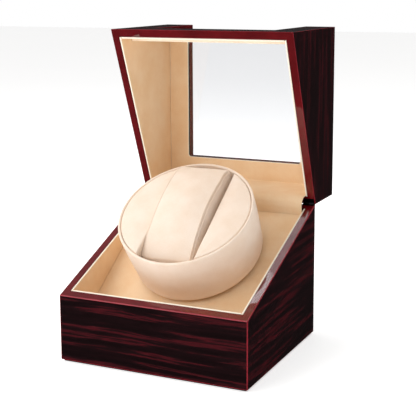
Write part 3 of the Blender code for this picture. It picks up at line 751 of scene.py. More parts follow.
def black_abs():
    # ABS, moulded in a spark-eroded tool: black with a fine, even grain.
    return plain("grained_abs_black", "1d1d20", "121214", 0.48, 0.0005, 0.00004, 0)


def grey_abs():
    return plain("grained_abs_grey", "5d5e63", "4c4d51", 0.50, 0.0005, 0.00004, 0)


def circuit_board():
    # Glass-epoxy laminate with a solder mask: green and half gloss.
    return plain("solder_masked_laminate", "23663b", "184b2b", 0.35, 0.0018, 0.00002, 0)


def pvc_lead():
    # PVC, extruded over wire: dark red and smooth.
    return plain("extruded_pvc", "97211f", "7a1917", 0.42, 0.0015, 0.00001, 0)


def felt():
    # Wool felt, pressed: black, with a loose surface of fibres.
    return plain("pressed_felt", "232225", "101012", 0.95, 0.0009, 0.00020, 0)


def fibreboard():
    # Medium-density fibreboard, sawn: tan, with fine dark fibres.
    return plain("sawn_fibreboard", "a07b50", "7c5b38", 0.85, 0.0012, 0.00006, 0)


@once
def pine():
    """Pine, planed: pale yellow with darker growth rings along its length."""
    made, tree, shader = new_material("planed_pine", Roughness=0.62)
    vector = object_place(tree, (1, 0.05, 0.05))
    rings = grains(tree, vector, 0.0024, 2.0)
    ringed = ramp(tree, rings, (0.4, "d8b581"), (0.6, "b98a52"))
    tree.links.new(ringed, shader.inputs["Base Color"])
    raise_surface(tree, shader, rings, 0.00005)
    return made


# The lacquered case. Its skin is that of the filled cells of an uneven grid.

BESIDE = [step for axis in range(3) for step in ((axis, -1), (axis, 1))]


def skin(place, filled):
    """A bmesh of the skin round some cells of a grid whose corners place(i, j, k) gives."""
    made = bmesh.new()
    corners = {}
    for cell in sorted(filled):
        for axis, step in BESIDE:
            beside = list(cell)
            beside[axis] += step
            if tuple(beside) in filled:
                continue
            square = []
            for a, b in ((0, 0), (1, 0), (1, 1), (0, 1)):
                corner = list(cell)
                corner[axis] += step > 0
                corner[(axis + 1) % 3] += a
                corner[(axis + 2) % 3] += b
                square.append(tuple(corner))
            for corner in square:
                if corner not in corners:
                    corners[corner] = made.verts.new(place(*corner))
            made.faces.new([corners[corner] for corner in square])
    bmesh.ops.recalc_face_normals(made, faces=made.faces)
    return made


def ease_case(made, degrees):
    """Eases the case's outer corners. Those next to the lining stay crisp."""
    _, inner_side, _, inner_back = case_sizes()
    look = settings("winder_lacquer")
    opening = window_opening()[0]
    outer = []
    for edge in sharp(made, degrees):
        inside = all(
            abs(vert.co.x) < inner_side + FIT and abs(vert.co.y) < inner_back + FIT
            for vert in edge.verts
        )
        in_window = all(abs(vert.co.x) < opening + FIT for vert in edge.verts)
        if in_window or not inside:
            outer.append(edge)
    # The eased faces take the fourth material, the red brightened as a painted highlight.
    ease(made, outer, look.edge, 3, 3)


def case_materials(side_grain):
    # The last is the eased edges' red, brightened as a painted highlight.
    return veneer("X"), veneer(side_grain), stained_edge(False), stained_edge(True)


def case_sizes():
    """(half width, inner half width, half depth, inner half depth) of the case."""
    side_low, side_high = span("base_right_panel")
    front_low, front_high = span("base_front_panel")
    return side_high.x, side_low.x, -front_low.y, -front_high.y


KNUCKLE = 0.0024  # radius of a hinge's knuckle
LEAF = 0.0020  # how deep a hinge block is let into the wood
BLOCKS = {"base": (1, 0.0020), "lid": (-1, 0.0054)}  # side of the split, length along the rim


def hinge_frame():
    """X along the pin, Y down the rim and Z into the base's wood."""
    return Matrix.Translation(PIVOT) @ Matrix.Rotation(math.pi + SLOPE, 4, "X")


def hinge_span(side):
    """The hinge blocks' lowest and highest x, on the left or the right."""
    outer, inner = case_sizes()[0] - 0.0008, case_sizes()[1] - 0.0045
    return (inner, outer) if side == "right" else (-outer, -inner)


def hinge_pockets(owner):
    """Cutters for the blocks' pockets and the room round their knuckles."""
    sign, long = BLOCKS[owner]
    before, open_face = 0.0040, 0.0030  # how far a cutter stands out of the wood
    tools = []
    for side in ("left", "right"):
        low_x, high_x = hinge_span(side)
        low_x, high_x = low_x - FIT / 2, high_x + FIT / 2
        end = long + FIT
        outline = [(low_x, -before), (high_x, -before), (high_x, end), (low_x, end)]
        depths = sorted((sign * LEAF, -sign * open_face))
        tools.append(helper(f"{owner}_pocket_{side}", extruded(outline, *depths), hinge_frame()))
        room = extruded(arc((0, 0), KNUCKLE + FIT, 0, 345, 23), low_x, high_x, "X")
        tools.append(helper(f"{owner}_room_{side}", room, hinge_frame()))
    return tools


class WINDER_OT_base_case(bpy.types.Operator):
    """Makes the lacquered walls of the base, with the hinge pockets and the plate's recess"""

    bl_idname = "winder.base_case"
    bl_label = "Base case"

    def execute(self, context):
        side, inner_side, back, inner_back = case_sizes()
        foot = span("base_front_panel")[0].z
        xs = (-side, -inner_side, inner_side, side)
        ys = (-back, -inner_back, inner_back, back)

        def place(i, j, k):
            return (xs[i], ys[j], split_height(ys[j], -FIT) if k else foot)

        walls = {(i, j, 0) for i in range(3) for j in range(3)} - {(1, 1, 0)}
        made = skin(place, walls)
        for face in made.faces:
            across = abs(face.normal.x) > 0.9
            face.material_index = 2 if face.normal.z > 0.5 else 1 if across else 0
        ease_case(made, 15)
        case = new_object("base_case", made, case_materials("Y"))
        low, high = span("control_plate")
        lip = Vector((0.004, 0, 0.004))
        clear = Vector((FIT, FIT, FIT))
        deep = Vector((0, 0.03, 0))
        recess = helper("plate_recess", block(low - clear, high + clear + deep))
        opening = helper("controls_opening", block(low + lip - deep, high - lip + deep))
        cut(case, *hinge_pockets("base"), recess, opening)
        shade(case)
        names = [f"base_{name}_panel" for name in ("front", "back", "left", "right")]
        fitted(case, "base", "lacquered_ebony", *names)
        return {"FINISHED"}


class WINDER_OT_lid_case(bpy.types.Operator):
    """Makes the lacquered walls of the lid, open round the window in its top and front"""

    bl_idname = "winder.lid_case"
    bl_label = "Lid case"

    def execute(self, context):
        look = settings("winder_lacquer")
        side, inner_side, back, inner_back = case_sizes()
        frame_low, frame_high = span("lid_top_frame", OPENED)
        opening, rear, rail = window_opening()
        xs = (-side, -inner_side, -opening, opening, inner_side, side)
        ys = (-back, -inner_back, rear, inner_back, back)

        def place(i, j, k):
            lowest = split_height(ys[j], FIT)
            beside_rail = rail if j < 2 else lowest + rail - split_height(-back)
            return (xs[i], ys[j], (lowest, beside_rail, frame_low.z, frame_high.z)[k])

        walls = set()
        for i in range(5):
            for j in range(4):
                for k in range(3):
                    window = i == 2 and j < 2 and k > 0
                    inside = 0 < i < 4 and 0 < j < 3 and k < 2
                    if not window and not inside:
                        walls.add((i, j, k))
        made = skin(place, walls)
        near = FIT / 2
        for face in made.faces:
            x, y, z = face.calc_center_median()
            in_window = abs(x) < opening + near and (y < rear + near or z < rail + near)
            reveal = in_window and (
                abs(abs(x) - opening) < near or abs(y - rear) < near or abs(z - rail) < near
            )
            across = abs(face.normal.x) > 0.9
            rim = face.normal.z < -0.5 and z < frame_low.z - near
            face.material_index = 2 if rim or reveal else 1 if across else 0
        corners = []
        for edge in made.edges:
            a, b = (vert.co for vert in edge.verts)
            at_side = abs(abs(a.x) - opening) < near and abs(abs(b.x) - opening) < near
            at_rear = all(abs(p.y - rear) < near and p.z > frame_low.z - near for p in (a, b))
            at_rail = all(abs(p.z - rail) < near and p.y < near - inner_back for p in (a, b))
            if at_side and (at_rear or at_rail) and edge.calc_face_angle(0) > 1:
                corners.append(edge)
        ease(made, corners, look.corner, 6)
        ease_case(made, 17)
        case = new_object("lid_case", made, case_materials("Z"), OPENED)
        cut(case, *hinge_pockets_of_lid())
        shade(case)
        names = ("left_panel", "right_panel", "rear_panel", "top_frame", "front_frame")
        fitted(case, "lid", "lacquered_ebony", *[f"lid_{name}" for name in names])
        return {"FINISHED"}


def hinge_pockets_of_lid():
    """The lid's pockets, which are cut in the shut lid and swing open with it."""
    tools = hinge_pockets("lid")
    for tool in tools:
        tool.data.transform(OPENED)
    return tools


def window_opening():
    """(half width, rear edge, top of the front rail) of the window in the shut lid."""
    lap = 0.0075  # how far the frame covers a pane's edge
    pane_high = span("top_window_pane", OPENED)[1]
    front_low = span("front_window_pane", OPENED)[0]
    return pane_high.x - lap, pane_high.y - lap, front_low.z + lap


def at_window_corner(edge):
    """Whether an edge goes through the lid's lining at a closed corner of the window."""
    opening, rear, rail = window_opening()
    for point in (OPENED.inverted() @ vert.co for vert in edge.verts):
        at_closed_end = abs(point.y - rear) < FIT or abs(point.z - rail) < FIT
        if abs(abs(point.x) - opening) > FIT or not at_closed_end:
            return False
    return edge.calc_length() < 0.01


class WINDER_OT_window(bpy.types.Operator):
    """Makes the two clear panes with polished edges, and the tape that beds them"""

    bl_idname = "winder.window"
    bl_label = "Window panes"

    def execute(self, context):
        for node in ("top_window_pane", "front_window_pane"):
            refined(node, 0.0002, "acrylic", clear_acrylic())
        for node in ("top_window_seal", "front_window_seal"):
            refined(node, 0.0002, "rubber", rubber())
        return {"FINISHED"}


class WINDER_OT_linings(bpy.types.Operator):
    """Makes the suede-covered boards that line the walls, the lid and the deck"""

    bl_idname = "winder.linings"
    bl_label = "Linings"

    def execute(self, context):
        fold = settings("winder_suede").fold
        sides = [f"{owner}_{side}_liner" for owner in ("base", "lid") for side in ("left", "right")]
        finish = ("suede", suede("lining"), suede("edge"))
        for node in [*sides, "base_front_liner"]:
            refined(node, fold, *finish, steps=3)
        for node in ("lid_top_liner", "lid_front_liner"):
            inner = settings("winder_lacquer").corner * 0.8
            refined(node, fold, *finish, steps=3, corners=at_window_corner, radius=inner)
        refined("deck_panel", fold, "suede", suede("lining"), steps=3)
        return {"FINISHED"}


class WINDER_OT_hinge_strip(bpy.types.Operator):
    """Makes the suede strip that joins the base's back to the lid over the hinge"""

    bl_idname = "winder.hinge_strip"
    bl_label = "Hinge strip"

    def execute(self, context):
        thickness = settings("winder_suede").strip
        deck_high = span("deck_panel")[1]
        liner_low = span("lid_top_liner")[0]
        half = span("base_front_liner")[1].x
        foot = Vector((deck_high.y + 0.0010, deck_high.z))
        top = Vector((liner_low.y - 0.0006, liner_low.z + 0.0032))
        # Steps back and up from the deck's rear edge: up the back, round the roll, over the pin.
        from_foot = (
            (0, -0.003),
            (-0.0003, 0.0030),
            (-0.0008, 0.0082),
            (0.0002, 0.0125),
            (0.0032, 0.0155),
            (0.0078, 0.0166),
            (0.0140, 0.0167),
            (0.0220, 0.0171),
            (0.0320, 0.0176),
        )
        # The last steps turn the strip up against the lid's top liner.
        from_top = ((-0.0055, -0.0004), (-0.0008, 0.0001), (0, 0.0016))
        route = [foot + Vector(step) for step in from_foot]
        route += [top + Vector(step) for step in from_top]
        line = smoothed(route, 5)
        columns = 48
        made = bmesh.new()
        xs = [half * (2 * i / columns - 1) for i in range(columns + 1)]
        rows = [[made.verts.new((x, *point)) for x in xs] for point in line]
        joined(made, rows, closed=False)
        noise.seed_set(7)
        slack = 0.0006  # height of the strip's ripples
        for vert in made.verts:
            ripple = noise.noise(Vector((vert.co.x * 22, vert.co.y * 60, 3.7)))
            along = min(1, max(0, (vert.co.y - foot[0]) / (top[0] - foot[0])))
            vert.co.z += slack * ripple * math.sin(math.pi * along)
        bmesh.ops.recalc_face_normals(made, faces=made.faces)
        strip = new_object("hinge_strip", made, [suede("lining")])
        modifier = strip.modifiers.new("cloth thickness", "SOLIDIFY")
        modifier.thickness = thickness
        modifier.offset = 0
        settle(strip)
        shade(strip, 60, weighted=False)
        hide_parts("base_back_pad", "lid_rear_pad")
        # Only the roll bends, in front of the pin, so the strip stays inside the shut box.
        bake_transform(strip)
        return {"FINISHED"}


# The drum, upright in its own frame.


def drum_sizes():
    """(radius, foot radius, bottom, top of the faces) of the drum."""
    low, high = span("drum_shell", DRUM)
    near_foot = low.z + 0.002
    foot = max(Vector(p.xy).length for p in points_of("drum_shell", DRUM) if p.z < near_foot)
    return high.x, foot, low.z, span("drum_face_left", DRUM)[1].z


class WINDER_OT_drum(bpy.types.Operator):
    """Makes the covered drum with its rolled rim, and the slot that holds the pillow"""

    bl_idname = "winder.drum"
    bl_label = "Drum"

    def execute(self, context):
        look = settings("winder_drum")
        radius, foot, bottom, top = drum_sizes()
        hub = 0.0078  # radius of the hole round the hub
        floor = bottom + 0.003
        roll = look.roll
        wall = 2 * roll + 0.0001
        foot_edge, belly, tuck = 0.002, 0.0005, 0.0012
        wall_low, wall_high = bottom + foot_edge, top - roll
        stages = 8
        side = []
        for t in (i / stages for i in range(1, stages)):
            across = foot + (radius - foot) * t + belly * math.sin(math.pi * t)
            side.append((across, wall_low + (wall_high - wall_low) * t))
        profile = [
            (hub, bottom),
            *arc((foot - foot_edge, wall_low), foot_edge, -90, 0, 6),
            *side,
            *arc((radius - roll, wall_high), roll, 0, 180, 10),
            (radius - wall, wall_high - tuck),
            (radius - wall, floor),
            (hub, floor),
        ]
        made = turned(profile, look.steps, closed=True)
        cover = shade(new_object("drum_cover", made, [suede("drum")], DRUM), 50, weighted=False)
        fitted(cover, "drum", "suede", "drum_shell")
        self.channel(top, look)
        around = arc((0, 0), radius - wall + 0.0004, 0, 360 - 360 / look.steps, look.steps - 1)
        ring = [DRUM @ Vector((x, y, wall_high - 0.0003)) for x, y in around]
        thin = settings("winder_suede").seam * 0.55
        cord = cords("rim_seam", [ring], thin, suede("drum"), closed=True)
        fitted(cord, "drum", "suede")
        return {"FINISHED"}

    def channel(self, top, look):
        """The slot's folded walls, which stop under the padded faces."""
        low, high = span("slot_channel", DRUM)
        wall = 0.0015
        half, rim = high.x, top - look.seat - FIT
        outline = [
            (-half, low.z),
            (half, low.z),
            (half, rim),
            (half - wall, rim),
            (half - wall, low.z + wall),
            (wall - half, low.z + wall),
            (wall - half, rim),
            (-half, rim),
        ]
        made = extruded(outline, low.y, high.y, "Y")
        ease(made, sharp(made), 0.0004, 2)
        channel = shade(new_object("slot_lining", made, [suede("drum")], DRUM))
        fitted(channel, "drum", "suede", "slot_channel")


def d_ring(radius, edge, height, along_arc, along_edge):
    """Points of a D whose straight side is at x = edge, at one height."""
    half = math.acos(edge / radius)
    ring = []
    for i in range(along_arc):
        a = -half + 2 * half * i / along_arc
        ring.append((radius * math.cos(a), radius * math.sin(a), height))
    reach = radius * math.sin(half)
    for i in range(along_edge):
        ring.append((edge, reach - 2 * reach * i / along_edge, height))
    return ring


class WINDER_OT_drum_faces(bpy.types.Operator):
    """Makes the two padded faces beside the slot"""

    bl_idname = "winder.drum_faces"
    bl_label = "Padded faces"

    def execute(self, context):
        look = settings("winder_drum")
        radius, _, _, top = drum_sizes()
        outer = radius - 2 * look.roll - 0.0004
        edge = span("slot_channel", DRUM)[1].x - 0.0015 - 0.0001
        soft = look.face_edge
        rings = [(0.0003, top - look.seat), (0, top - look.seat + 0.0004)]
        for i in range(7):
            a = math.radians(90 * i / 6)
            rings.append((soft * (1 - math.cos(a)), top - soft + soft * math.sin(a)))
        deepest = (outer - edge - look.wider) / 2 - 0.001
        for i in range(1, 10):
            inset = soft + (deepest - soft) * i / 9
            rise = look.crown * math.sin(math.pi / 2 * i / 9)
            rings.append((inset, top + rise))
        for name, side in (("left", -1), ("right", 1)):
            made = bmesh.new()
            loops = []
            straight = edge + (look.wider if side > 0 else 0)
            for inset, height in rings:
                points = d_ring(outer - inset, straight + inset, height, 56, 36)
                loops.append([made.verts.new((side * x, y, z)) for x, y, z in points])
            joined(made, loops)
            made.faces.new(loops[0])
            made.faces.new(loops[-1])
            bmesh.ops.recalc_face_normals(made, faces=made.faces)
            noise.seed_set(11 + side)
            for vert in made.verts:
                if vert.co.z > top - soft:
                    vert.co.z += 0.00025 * noise.noise(vert.co * 60)
            face = new_object(f"drum_face_{name}_padded", made, [suede("drum")], DRUM)
            shade(face, 60, weighted=False)
            fitted(face, "drum", "suede", f"drum_face_{name}")
        return {"FINISHED"}


def swollen(thing, held, pressure, most, frames=20):
    """Stuffs a cover by cloth simulation; the points whose numbers are held stay.

    No point moves further than most.
    """
    rest = [vertex.co.copy() for vertex in thing.data.vertices]
    group = thing.vertex_groups.new(name="held")
    group.add(held, 1.0, "REPLACE")
    modifier = thing.modifiers.new("cloth", "CLOTH")
    cloth = modifier.settings
    cloth.quality = 8
    cloth.mass = 0.15
    cloth.tension_stiffness = 12
    cloth.compression_stiffness = 12
    cloth.bending_stiffness = 0.4
    cloth.use_pressure = True
    cloth.uniform_pressure_force = pressure
    cloth.vertex_group_mass = "held"
    cloth.effector_weights.gravity = 0
    modifier.point_cache.frame_start = 1
    modifier.point_cache.frame_end = frames
    scene = bpy.context.scene
    for number in range(1, frames + 1):
        scene.frame_set(number)
    graph = bpy.context.evaluated_depsgraph_get()
    mesh = thing.evaluated_get(graph).to_mesh()
    moved = [vertex.co.copy() for vertex in mesh.vertices]
    thing.evaluated_get(graph).to_mesh_clear()
    thing.modifiers.remove(modifier)
    thing.vertex_groups.remove(group)
    scene.frame_set(1)
    for vertex, start, end in zip(thing.data.vertices, rest, moved):
        step = end - start
        if step.length > most:
            step *= most / step.length
        vertex.co = start + step
    thing.data.update()


class WINDER_OT_pillow(bpy.types.Operator):
    """Makes the stuffed pillow that a watch is strapped round, and the cords in its seams"""

    bl_idname = "winder.pillow"
    bl_label = "Pillow"

    stations = 33
    across = 12
    down = 9

    def execute(self, context):
        look = settings("winder_pillow")
        low, high = span("pillow_cushion", DRUM)
        self.low, self.high = low, high
        points = points_of("pillow_cushion", DRUM)
        heights = {}
        for name, y in (("front", low.y), ("middle", 0), ("back", high.y)):
            heights[name] = max(p.z for p in points if abs(p.y - y) < FIT)
        self.heights = {
            "front": heights["front"] + look.plump,
            "middle": heights["middle"],
            "back": heights["back"] + look.plump * 1.7,
        }
        made = bmesh.new()
        loops = [self.section(made, i, look) for i in range(self.stations)]
        joined(made, loops)
        self.close_end(made, loops[0])
        self.close_end(made, loops[-1])
        bmesh.ops.recalc_face_normals(made, faces=made.faces)
        pillow = new_object("pillow_stuffed", made, [suede("drum")])
        floor = low.z + 0.012
        held = [vertex.index for vertex in pillow.data.vertices if vertex.co.z < floor]
        swollen(pillow, [*held, *self.seam_points()], look.pressure, look.most)
        widest = high.x + 0.0007
        for vertex in pillow.data.vertices:
            vertex.co.x = max(-widest, min(widest, vertex.co.x))
        self.crease(pillow, look)
        seams = self.seam_runs(pillow)
        subdivide(pillow)
        pillow.data.transform(DRUM)
        shade(pillow, 70, weighted=False)
        fitted(pillow, "pillow", "suede", "pillow_cushion")
        runs = [[DRUM @ point for point in smoothed(run, 3)] for run in seams]
        cord = cords("pillow_seams", runs, settings("winder_suede").seam, suede("drum"))
        fitted(cord, "pillow", "suede")
        return {"FINISHED"}

    def crown(self, y):
        """Height of the pillow's top along its length: it dips at the front more than the back."""
        along = max(-1, min(1, y / self.high.y))
        front, middle, back = (self.heights[name] for name in ("front", "middle", "back"))
        straight = (front + back) / 2 + (back - front) / 2 * along
        return straight + (middle - (front + back) / 2) * (1 - along**2)

    def section(self, made, number, look):
        """One closed loop across the pillow: foot, right side, top, left side."""
        t = 2 * number / (self.stations - 1) - 1
        y = self.high.y * math.sin(t * math.pi / 2)
        near_end = max(0, (abs(y) / self.high.y - 0.93) / 0.07)
        pull = 0.0014 * near_end**2
        half = self.high.x + 0.0004 - (0 if y > 0 else pull * 0.5)
        arch = look.arch * (1 - (y / self.high.y) ** 2) + FIT
        top = self.crown(y) - arch - pull
        y += look.reach * max(0, t) ** 3
        soft = look.round_over
        points = [(half * (2 * i / self.across - 1), self.low.z) for i in range(self.across + 1)]
        for i in range(1, self.down + 1):
            points.append((half, self.low.z + (top - soft - self.low.z) * i / self.down))
        points += arc((half - soft, top - soft), soft, 0, 90, 4)[1:]
        inner = half - soft
        for i in range(1, self.across):
            x = inner - 2 * inner * i / self.across
            points.append((x, top + arch * (1 - (x / inner) ** 2)))
        points += arc((soft - half, top - soft), soft, 90, 180, 4)
        for i in range(1, self.down):
            height = top - soft - (top - soft - self.low.z) * i / self.down
            points.append((-half, height))
        lean = look.lean * (1 - 0.65 * max(0, t))
        wall = self.low.z + 0.7 * (top - self.low.z)
        verts = []
        for x, z in points:
            share = max(0, (z - wall) / (top - wall)) * max(0, x / half)
            verts.append(made.verts.new((x - lean * share, y, z)))
        return verts

    def close_end(self, made, loop):
        """Closes an end with a fan of triangles."""
        bmesh.ops.poke(made, faces=[made.faces.new(loop)])

    def crease(self, pillow, look):
        """Small folds where the cover is gathered at the back corner, and a faint slackness."""
        noise.seed_set(look.seed)
        y = self.high.y * 0.88
        back = Vector((self.high.x, y, self.crown(y) - 0.004))
        for vertex in pillow.data.vertices:
            point = vertex.co
            away = point - back
            near = math.exp(-((away.length / 0.0075) ** 2))
            turn = math.atan2(away.z, away.y)
            fold = math.sin(turn * 3 + away.length * 700) * near
            slack = noise.noise(point * 45)
            point.x += look.creases * (fold - near) * 0.6
            point.z += look.creases * (fold * 0.35 + 0.16 * slack)

    def seam_points(self):
        """The numbers of the points in both long seams, the right one first."""
        count = 2 * self.across + 2 * self.down + 8
        right = self.across + self.down + 2
        left = right + self.across + 4
        return [i * count + column for column in (right, left) for i in range(self.stations)]

    def seam_runs(self, pillow):
        """The points of the long edges, a little outside the cover."""
        numbers = self.seam_points()
        inset = 2
        runs = []
        for side in (1, -1):
            seam = numbers[: self.stations] if side > 0 else numbers[self.stations :]
            points = [pillow.data.vertices[i].co for i in seam[inset:-inset]]
            run = [point + Vector((side * 0.0001, 0, 0.0001)) for point in points]
            if side > 0:
                # The right seam turns down in a hook where the cover is gathered at the back.
                hook = ((12, 2, -12), (20, 3, -34), (18, -12, -56), (12, -32, -62))
                run += [run[-1] + Vector(step) * 0.0001 for step in hook]
                runs.append([point + Vector((0.0016, 0, -0.0022)) for point in points])
            runs.append(run)
        return runs


class WINDER_OT_hinges(bpy.types.Operator):
    """Makes the black hinge blocks at the back ends of the rims, with their knuckles"""

    bl_idname = "winder.hinges"
    bl_label = "Hinges"

    def execute(self, context):
        for owner, (sign, long) in BLOCKS.items():
            swung = OPENED if owner == "lid" else AS_IS
            for side in ("left", "right"):
                low_x, high_x = hinge_span(side)
                depths = sorted((sign * FIT * 0.4, sign * (LEAF - FIT)))
                outline = [(low_x, 0), (high_x, 0), (high_x, long), (low_x, long)]
                made = extruded(outline, *depths)
                ease(made, sharp(made), 0.00025, 2)
                middle = (low_x + high_x) / 2
                outer = (owner == "base") == (side == "right")
                ends = (middle + FIT / 2, high_x) if outer else (low_x, middle - FIT / 2)
                knuckle = extruded(arc((0, 0), KNUCKLE, 0, 350, 35), *ends, "X")
                ease(knuckle, sharp(knuckle, 60), 0.0002, 2)
                mesh = bpy.data.meshes.new("knuckle")
                knuckle.to_mesh(mesh)
                knuckle.free()
                made.from_mesh(mesh)
                bpy.data.meshes.remove(mesh)
                placed = swung @ hinge_frame()
                name = f"{owner}_hinge_block_{side}"
                found = shade(new_object(name, made, [black_steel()], placed))
                fitted(found, owner, "black_steel", f"{owner}_hinge_leaf_{side}")
        return {"FINISHED"}


class WINDER_OT_controls(bpy.types.Operator):
    """Makes the plate at the back with its inlet, switches and screws"""

    bl_idname = "winder.controls"
    bl_label = "Controls"

    def execute(self, context):
        refined("control_plate", 0.0003, "black_plastic", black_abs())
        for node in ("power_socket", "mode_switch_case", "power_switch_case"):
            refined(node, 0.00015, "black_plastic", black_abs())
        refined("power_rocker", 0.0005, "black_plastic", black_abs(), steps=3)
        self.knob()
        places = []
        for number in (1, 2):
            low, high = span(f"plate_screw_{number}")
            middle = (low + high) / 2
            places.append((Vector((middle.x, high.y - 0.0002, middle.z)), (0, 1, 0)))
        heads = screw_heads("plate_screw_crosses", places, 0.0017, black_steel())
        fitted(heads, "base", "black_steel")
        for number in (1, 2):
            refined(f"plate_screw_{number}", 0.0001, "black_steel", black_steel())
        repaint(circuit_board(), "control_board")
        return {"FINISHED"}

    def knob(self):
        """The slide switch's knob, with grip ridges across its face."""
        low, high = span("mode_switch_knob")
        made = block(low, high)
        ease(made, sharp(made), 0.0003, 2)
        knob = new_object("mode_knob_ribbed", made, [grey_abs()])
        grooves, half_width, depth, past = 3, 0.00025, 0.0004, 0.001
        tools = []
        for i in range(grooves):
            x = low.x + (high.x - low.x) * (i + 1) / (grooves + 1)
            start = (x - half_width, high.y - depth, low.z - past)
            end = (x + half_width, high.y + past, high.z + past)
            tools.append(helper(f"groove_{i}", block(start, end)))
        cut(knob, *tools)
        fitted(shade(knob), "mode_knob", "grey_plastic", "mode_switch_knob")


class WINDER_OT_drive(bpy.types.Operator):
    """Finishes the gears, motor, shafts and case that the deck hides"""

    bl_idname = "winder.drive"
    bl_label = "Drive"

    def execute(self, context):
        for node in ("gear_case", "output_gear", "idler_gear", "motor_pinion"):
            refined(node, 0, "nylon", nylon())
        for node in ("drum_shaft", "idler_axle", "gear_motor"):
            refined(node, 0, "steel", zinc_steel())
        for number in (1, 2, 3):
            refined(f"case_screw_{number}", 0, "steel", zinc_steel())
        refined("drum_bearing", 0, "bronze", bronze())
        refined("drum_hub", 0.0003, "black_plastic", black_abs())
        refined("pillow_plate", 0.0004, "black_plastic", black_abs())
        refined("motor_lead", 0, "lead", pvc_lead())
        return {"FINISHED"}


class WINDER_OT_underside(bpy.types.Operator):
    """Finishes the felt, the bottom board and the cleats"""

    bl_idname = "winder.underside"
    bl_label = "Underside"

    def execute(self, context):
        refined("underside_felt", 0.0004, "felt", felt())
        repaint(fibreboard(), "base_bottom_board")
        repaint(pine(), "deck_cleat_left", "deck_cleat_right")
        return {"FINISHED"}


# Floor, light and camera.


def softbox(name, place, aim, size, power, tint="ffffff"):
    lamp = bpy.data.lights.new(name, "AREA")
    lamp.shape = "RECTANGLE"
    lamp.size, lamp.size_y = size
    lamp.energy = power
    lamp.color = linear(tint)[:3]
    found = bpy.data.objects.new(name, lamp)
    bpy.context.scene.collection.objects.link(found)
    found.location = place
    found.rotation_euler = (Vector(aim) - Vector(place)).to_track_quat("-Z", "Y").to_euler()
    return found


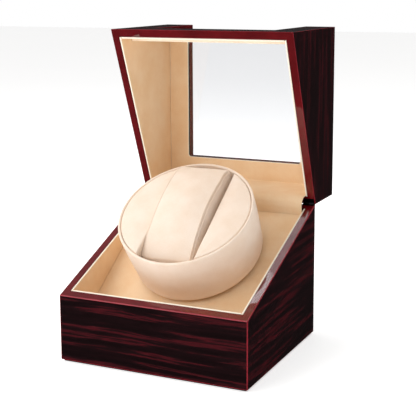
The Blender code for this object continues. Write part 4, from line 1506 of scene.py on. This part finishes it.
class WINDER_OT_stage(bpy.types.Operator):
    """Makes the pale floor, the soft light and the camera"""

    bl_idname = "winder.stage"
    bl_label = "Stage"

    def execute(self, context):
        look = settings("winder_stage")
        context.scene.view_settings.view_transform = "Standard"
        self.floor(look)
        self.surroundings(look)
        key = softbox("key_light", (-0.72, 0.20, 1.25), (0, 0, 0.12), (1.1, 1.1), look.key)
        key.visible_glossy = False
        sheen = softbox("rim_light", (-0.10, 0.62, 1.15), (0, 0, 0.12), (0.75, 0.9), look.sheen)
        sheen.visible_diffuse = False
        softbox("front_fill", (-1.0, -1.5, 1.1), (0, 0, 0.12), (1.4, 1.0), look.fill)
        self.camera(look)
        return {"FINISHED"}

    def floor(self, look):
        made = bmesh.new()
        bmesh.ops.create_grid(made, x_segments=8, y_segments=8, size=6)
        made.transform(Matrix.Translation((0, 0, -0.0002)))
        # Matt white acrylic board: pale, with a faint reflection.
        finish, tree, shader = new_material("floor_board", Roughness=0.2, Specular_IOR_Level=0.03)
        patches = grains(tree, object_place(tree), 0.5, 1.0)
        pale = [channel * 0.99 for channel in look.floor[:3]] + [1]
        mixed = ramp(tree, patches, (0.4, pale), (0.6, look.floor))
        tree.links.new(mixed, shader.inputs["Base Color"])
        # A faint glow of its own, as a lit table has, keeps it white out to the horizon.
        shader.inputs["Emission Color"].default_value = linear("ffffff")
        shader.inputs["Emission Strength"].default_value = look.glow
        floor = new_object("floor", made, [finish])
        floor.visible_glossy = False

    def surroundings(self, look):
        """A white studio that the camera sees bright and the lacquer sees dim."""
        world = bpy.data.worlds.new("studio")
        world.use_nodes = True
        bpy.context.scene.world = world
        tree = world.node_tree
        tree.nodes.clear()
        ray = add(tree, "ShaderNodeLightPath")
        upward = add(tree, "ShaderNodeTexCoord").outputs["Generated"]
        height = add(tree, "ShaderNodeSeparateXYZ", {0: upward}).outputs["Z"]
        links = {"Value": height, "From Min": 0.1, "From Max": 0.8, "To Min": 0.015, "To Max": 0.28}
        seen_in_gloss = add(tree, "ShaderNodeMapRange", links).outputs["Result"]
        links = {"Factor": ray.outputs["Is Glossy Ray"], "A": look.ambient, "B": seen_in_gloss}
        unlit = add(tree, "ShaderNodeMix", links)
        links = {"Factor": ray.outputs["Is Camera Ray"], "A": unlit, "B": 1.0}
        strength = add(tree, "ShaderNodeMix", links)
        links = {"Factor": ray.outputs["Is Transmission Ray"], "A": strength, "B": 0.95}
        through = add(tree, "ShaderNodeMix", links)
        back = add(tree, "ShaderNodeBackground", {"Color": linear("ffffff"), "Strength": through})
        add(tree, "ShaderNodeOutputWorld", {"Surface": back})

    def camera(self, look):
        data = bpy.data.cameras.new("camera")
        data.lens = look.lens
        data.sensor_width = 36
        data.shift_y = -0.1034
        data.clip_end = 50
        found = bpy.data.objects.new("camera", data)
        bpy.context.scene.collection.objects.link(found)
        yaw, pitch, roll = (math.radians(angle) for angle in (24.97, -9.89, -0.25))
        turn = (
            Matrix.Rotation(yaw, 4, "Z")
            @ Matrix.Rotation(math.pi / 2 + pitch, 4, "X")
            @ Matrix.Rotation(roll, 4, "Z")
        )
        found.matrix_world = Matrix.Translation((0.40536, -0.83376, 0.33192)) @ turn
        bpy.context.scene.camera = found


class WINDER_PT_panel(bpy.types.Panel):
    """Lists the pieces of the watch winder box"""

    bl_idname = "WINDER_PT_panel"
    bl_label = "Watch Winder Box"
    bl_space_type = "VIEW_3D"
    bl_region_type = "UI"
    bl_category = "Winder"

    def draw(self, context):
        for operator in OPERATORS:
            self.layout.operator(operator.bl_idname)


GROUPS = {
    "winder_lacquer": LacquerSettings,
    "winder_suede": SuedeSettings,
    "winder_drum": DrumSettings,
    "winder_pillow": PillowSettings,
    "winder_stage": StageSettings,
}
OPERATORS = (
    WINDER_OT_stage,
    WINDER_OT_base_case,
    WINDER_OT_lid_case,
    WINDER_OT_window,
    WINDER_OT_linings,
    WINDER_OT_hinge_strip,
    WINDER_OT_drum,
    WINDER_OT_drum_faces,
    WINDER_OT_pillow,
    WINDER_OT_hinges,
    WINDER_OT_controls,
    WINDER_OT_drive,
    WINDER_OT_underside,
)


def register():
    for kind in (*GROUPS.values(), *OPERATORS, WINDER_PT_panel):
        bpy.utils.register_class(kind)
    for name, group in GROUPS.items():
        setattr(bpy.types.Scene, name, PointerProperty(type=group))


def unregister():
    for name in GROUPS:
        delattr(bpy.types.Scene, name)
    for kind in (WINDER_PT_panel, *reversed(OPERATORS), *reversed(list(GROUPS.values()))):
        bpy.utils.unregister_class(kind)


def main():
    register()
    for operator in OPERATORS:
        family, name = operator.bl_idname.split(".")
        getattr(getattr(bpy.ops, family), name)()


if __name__ == "__main__":
    main()
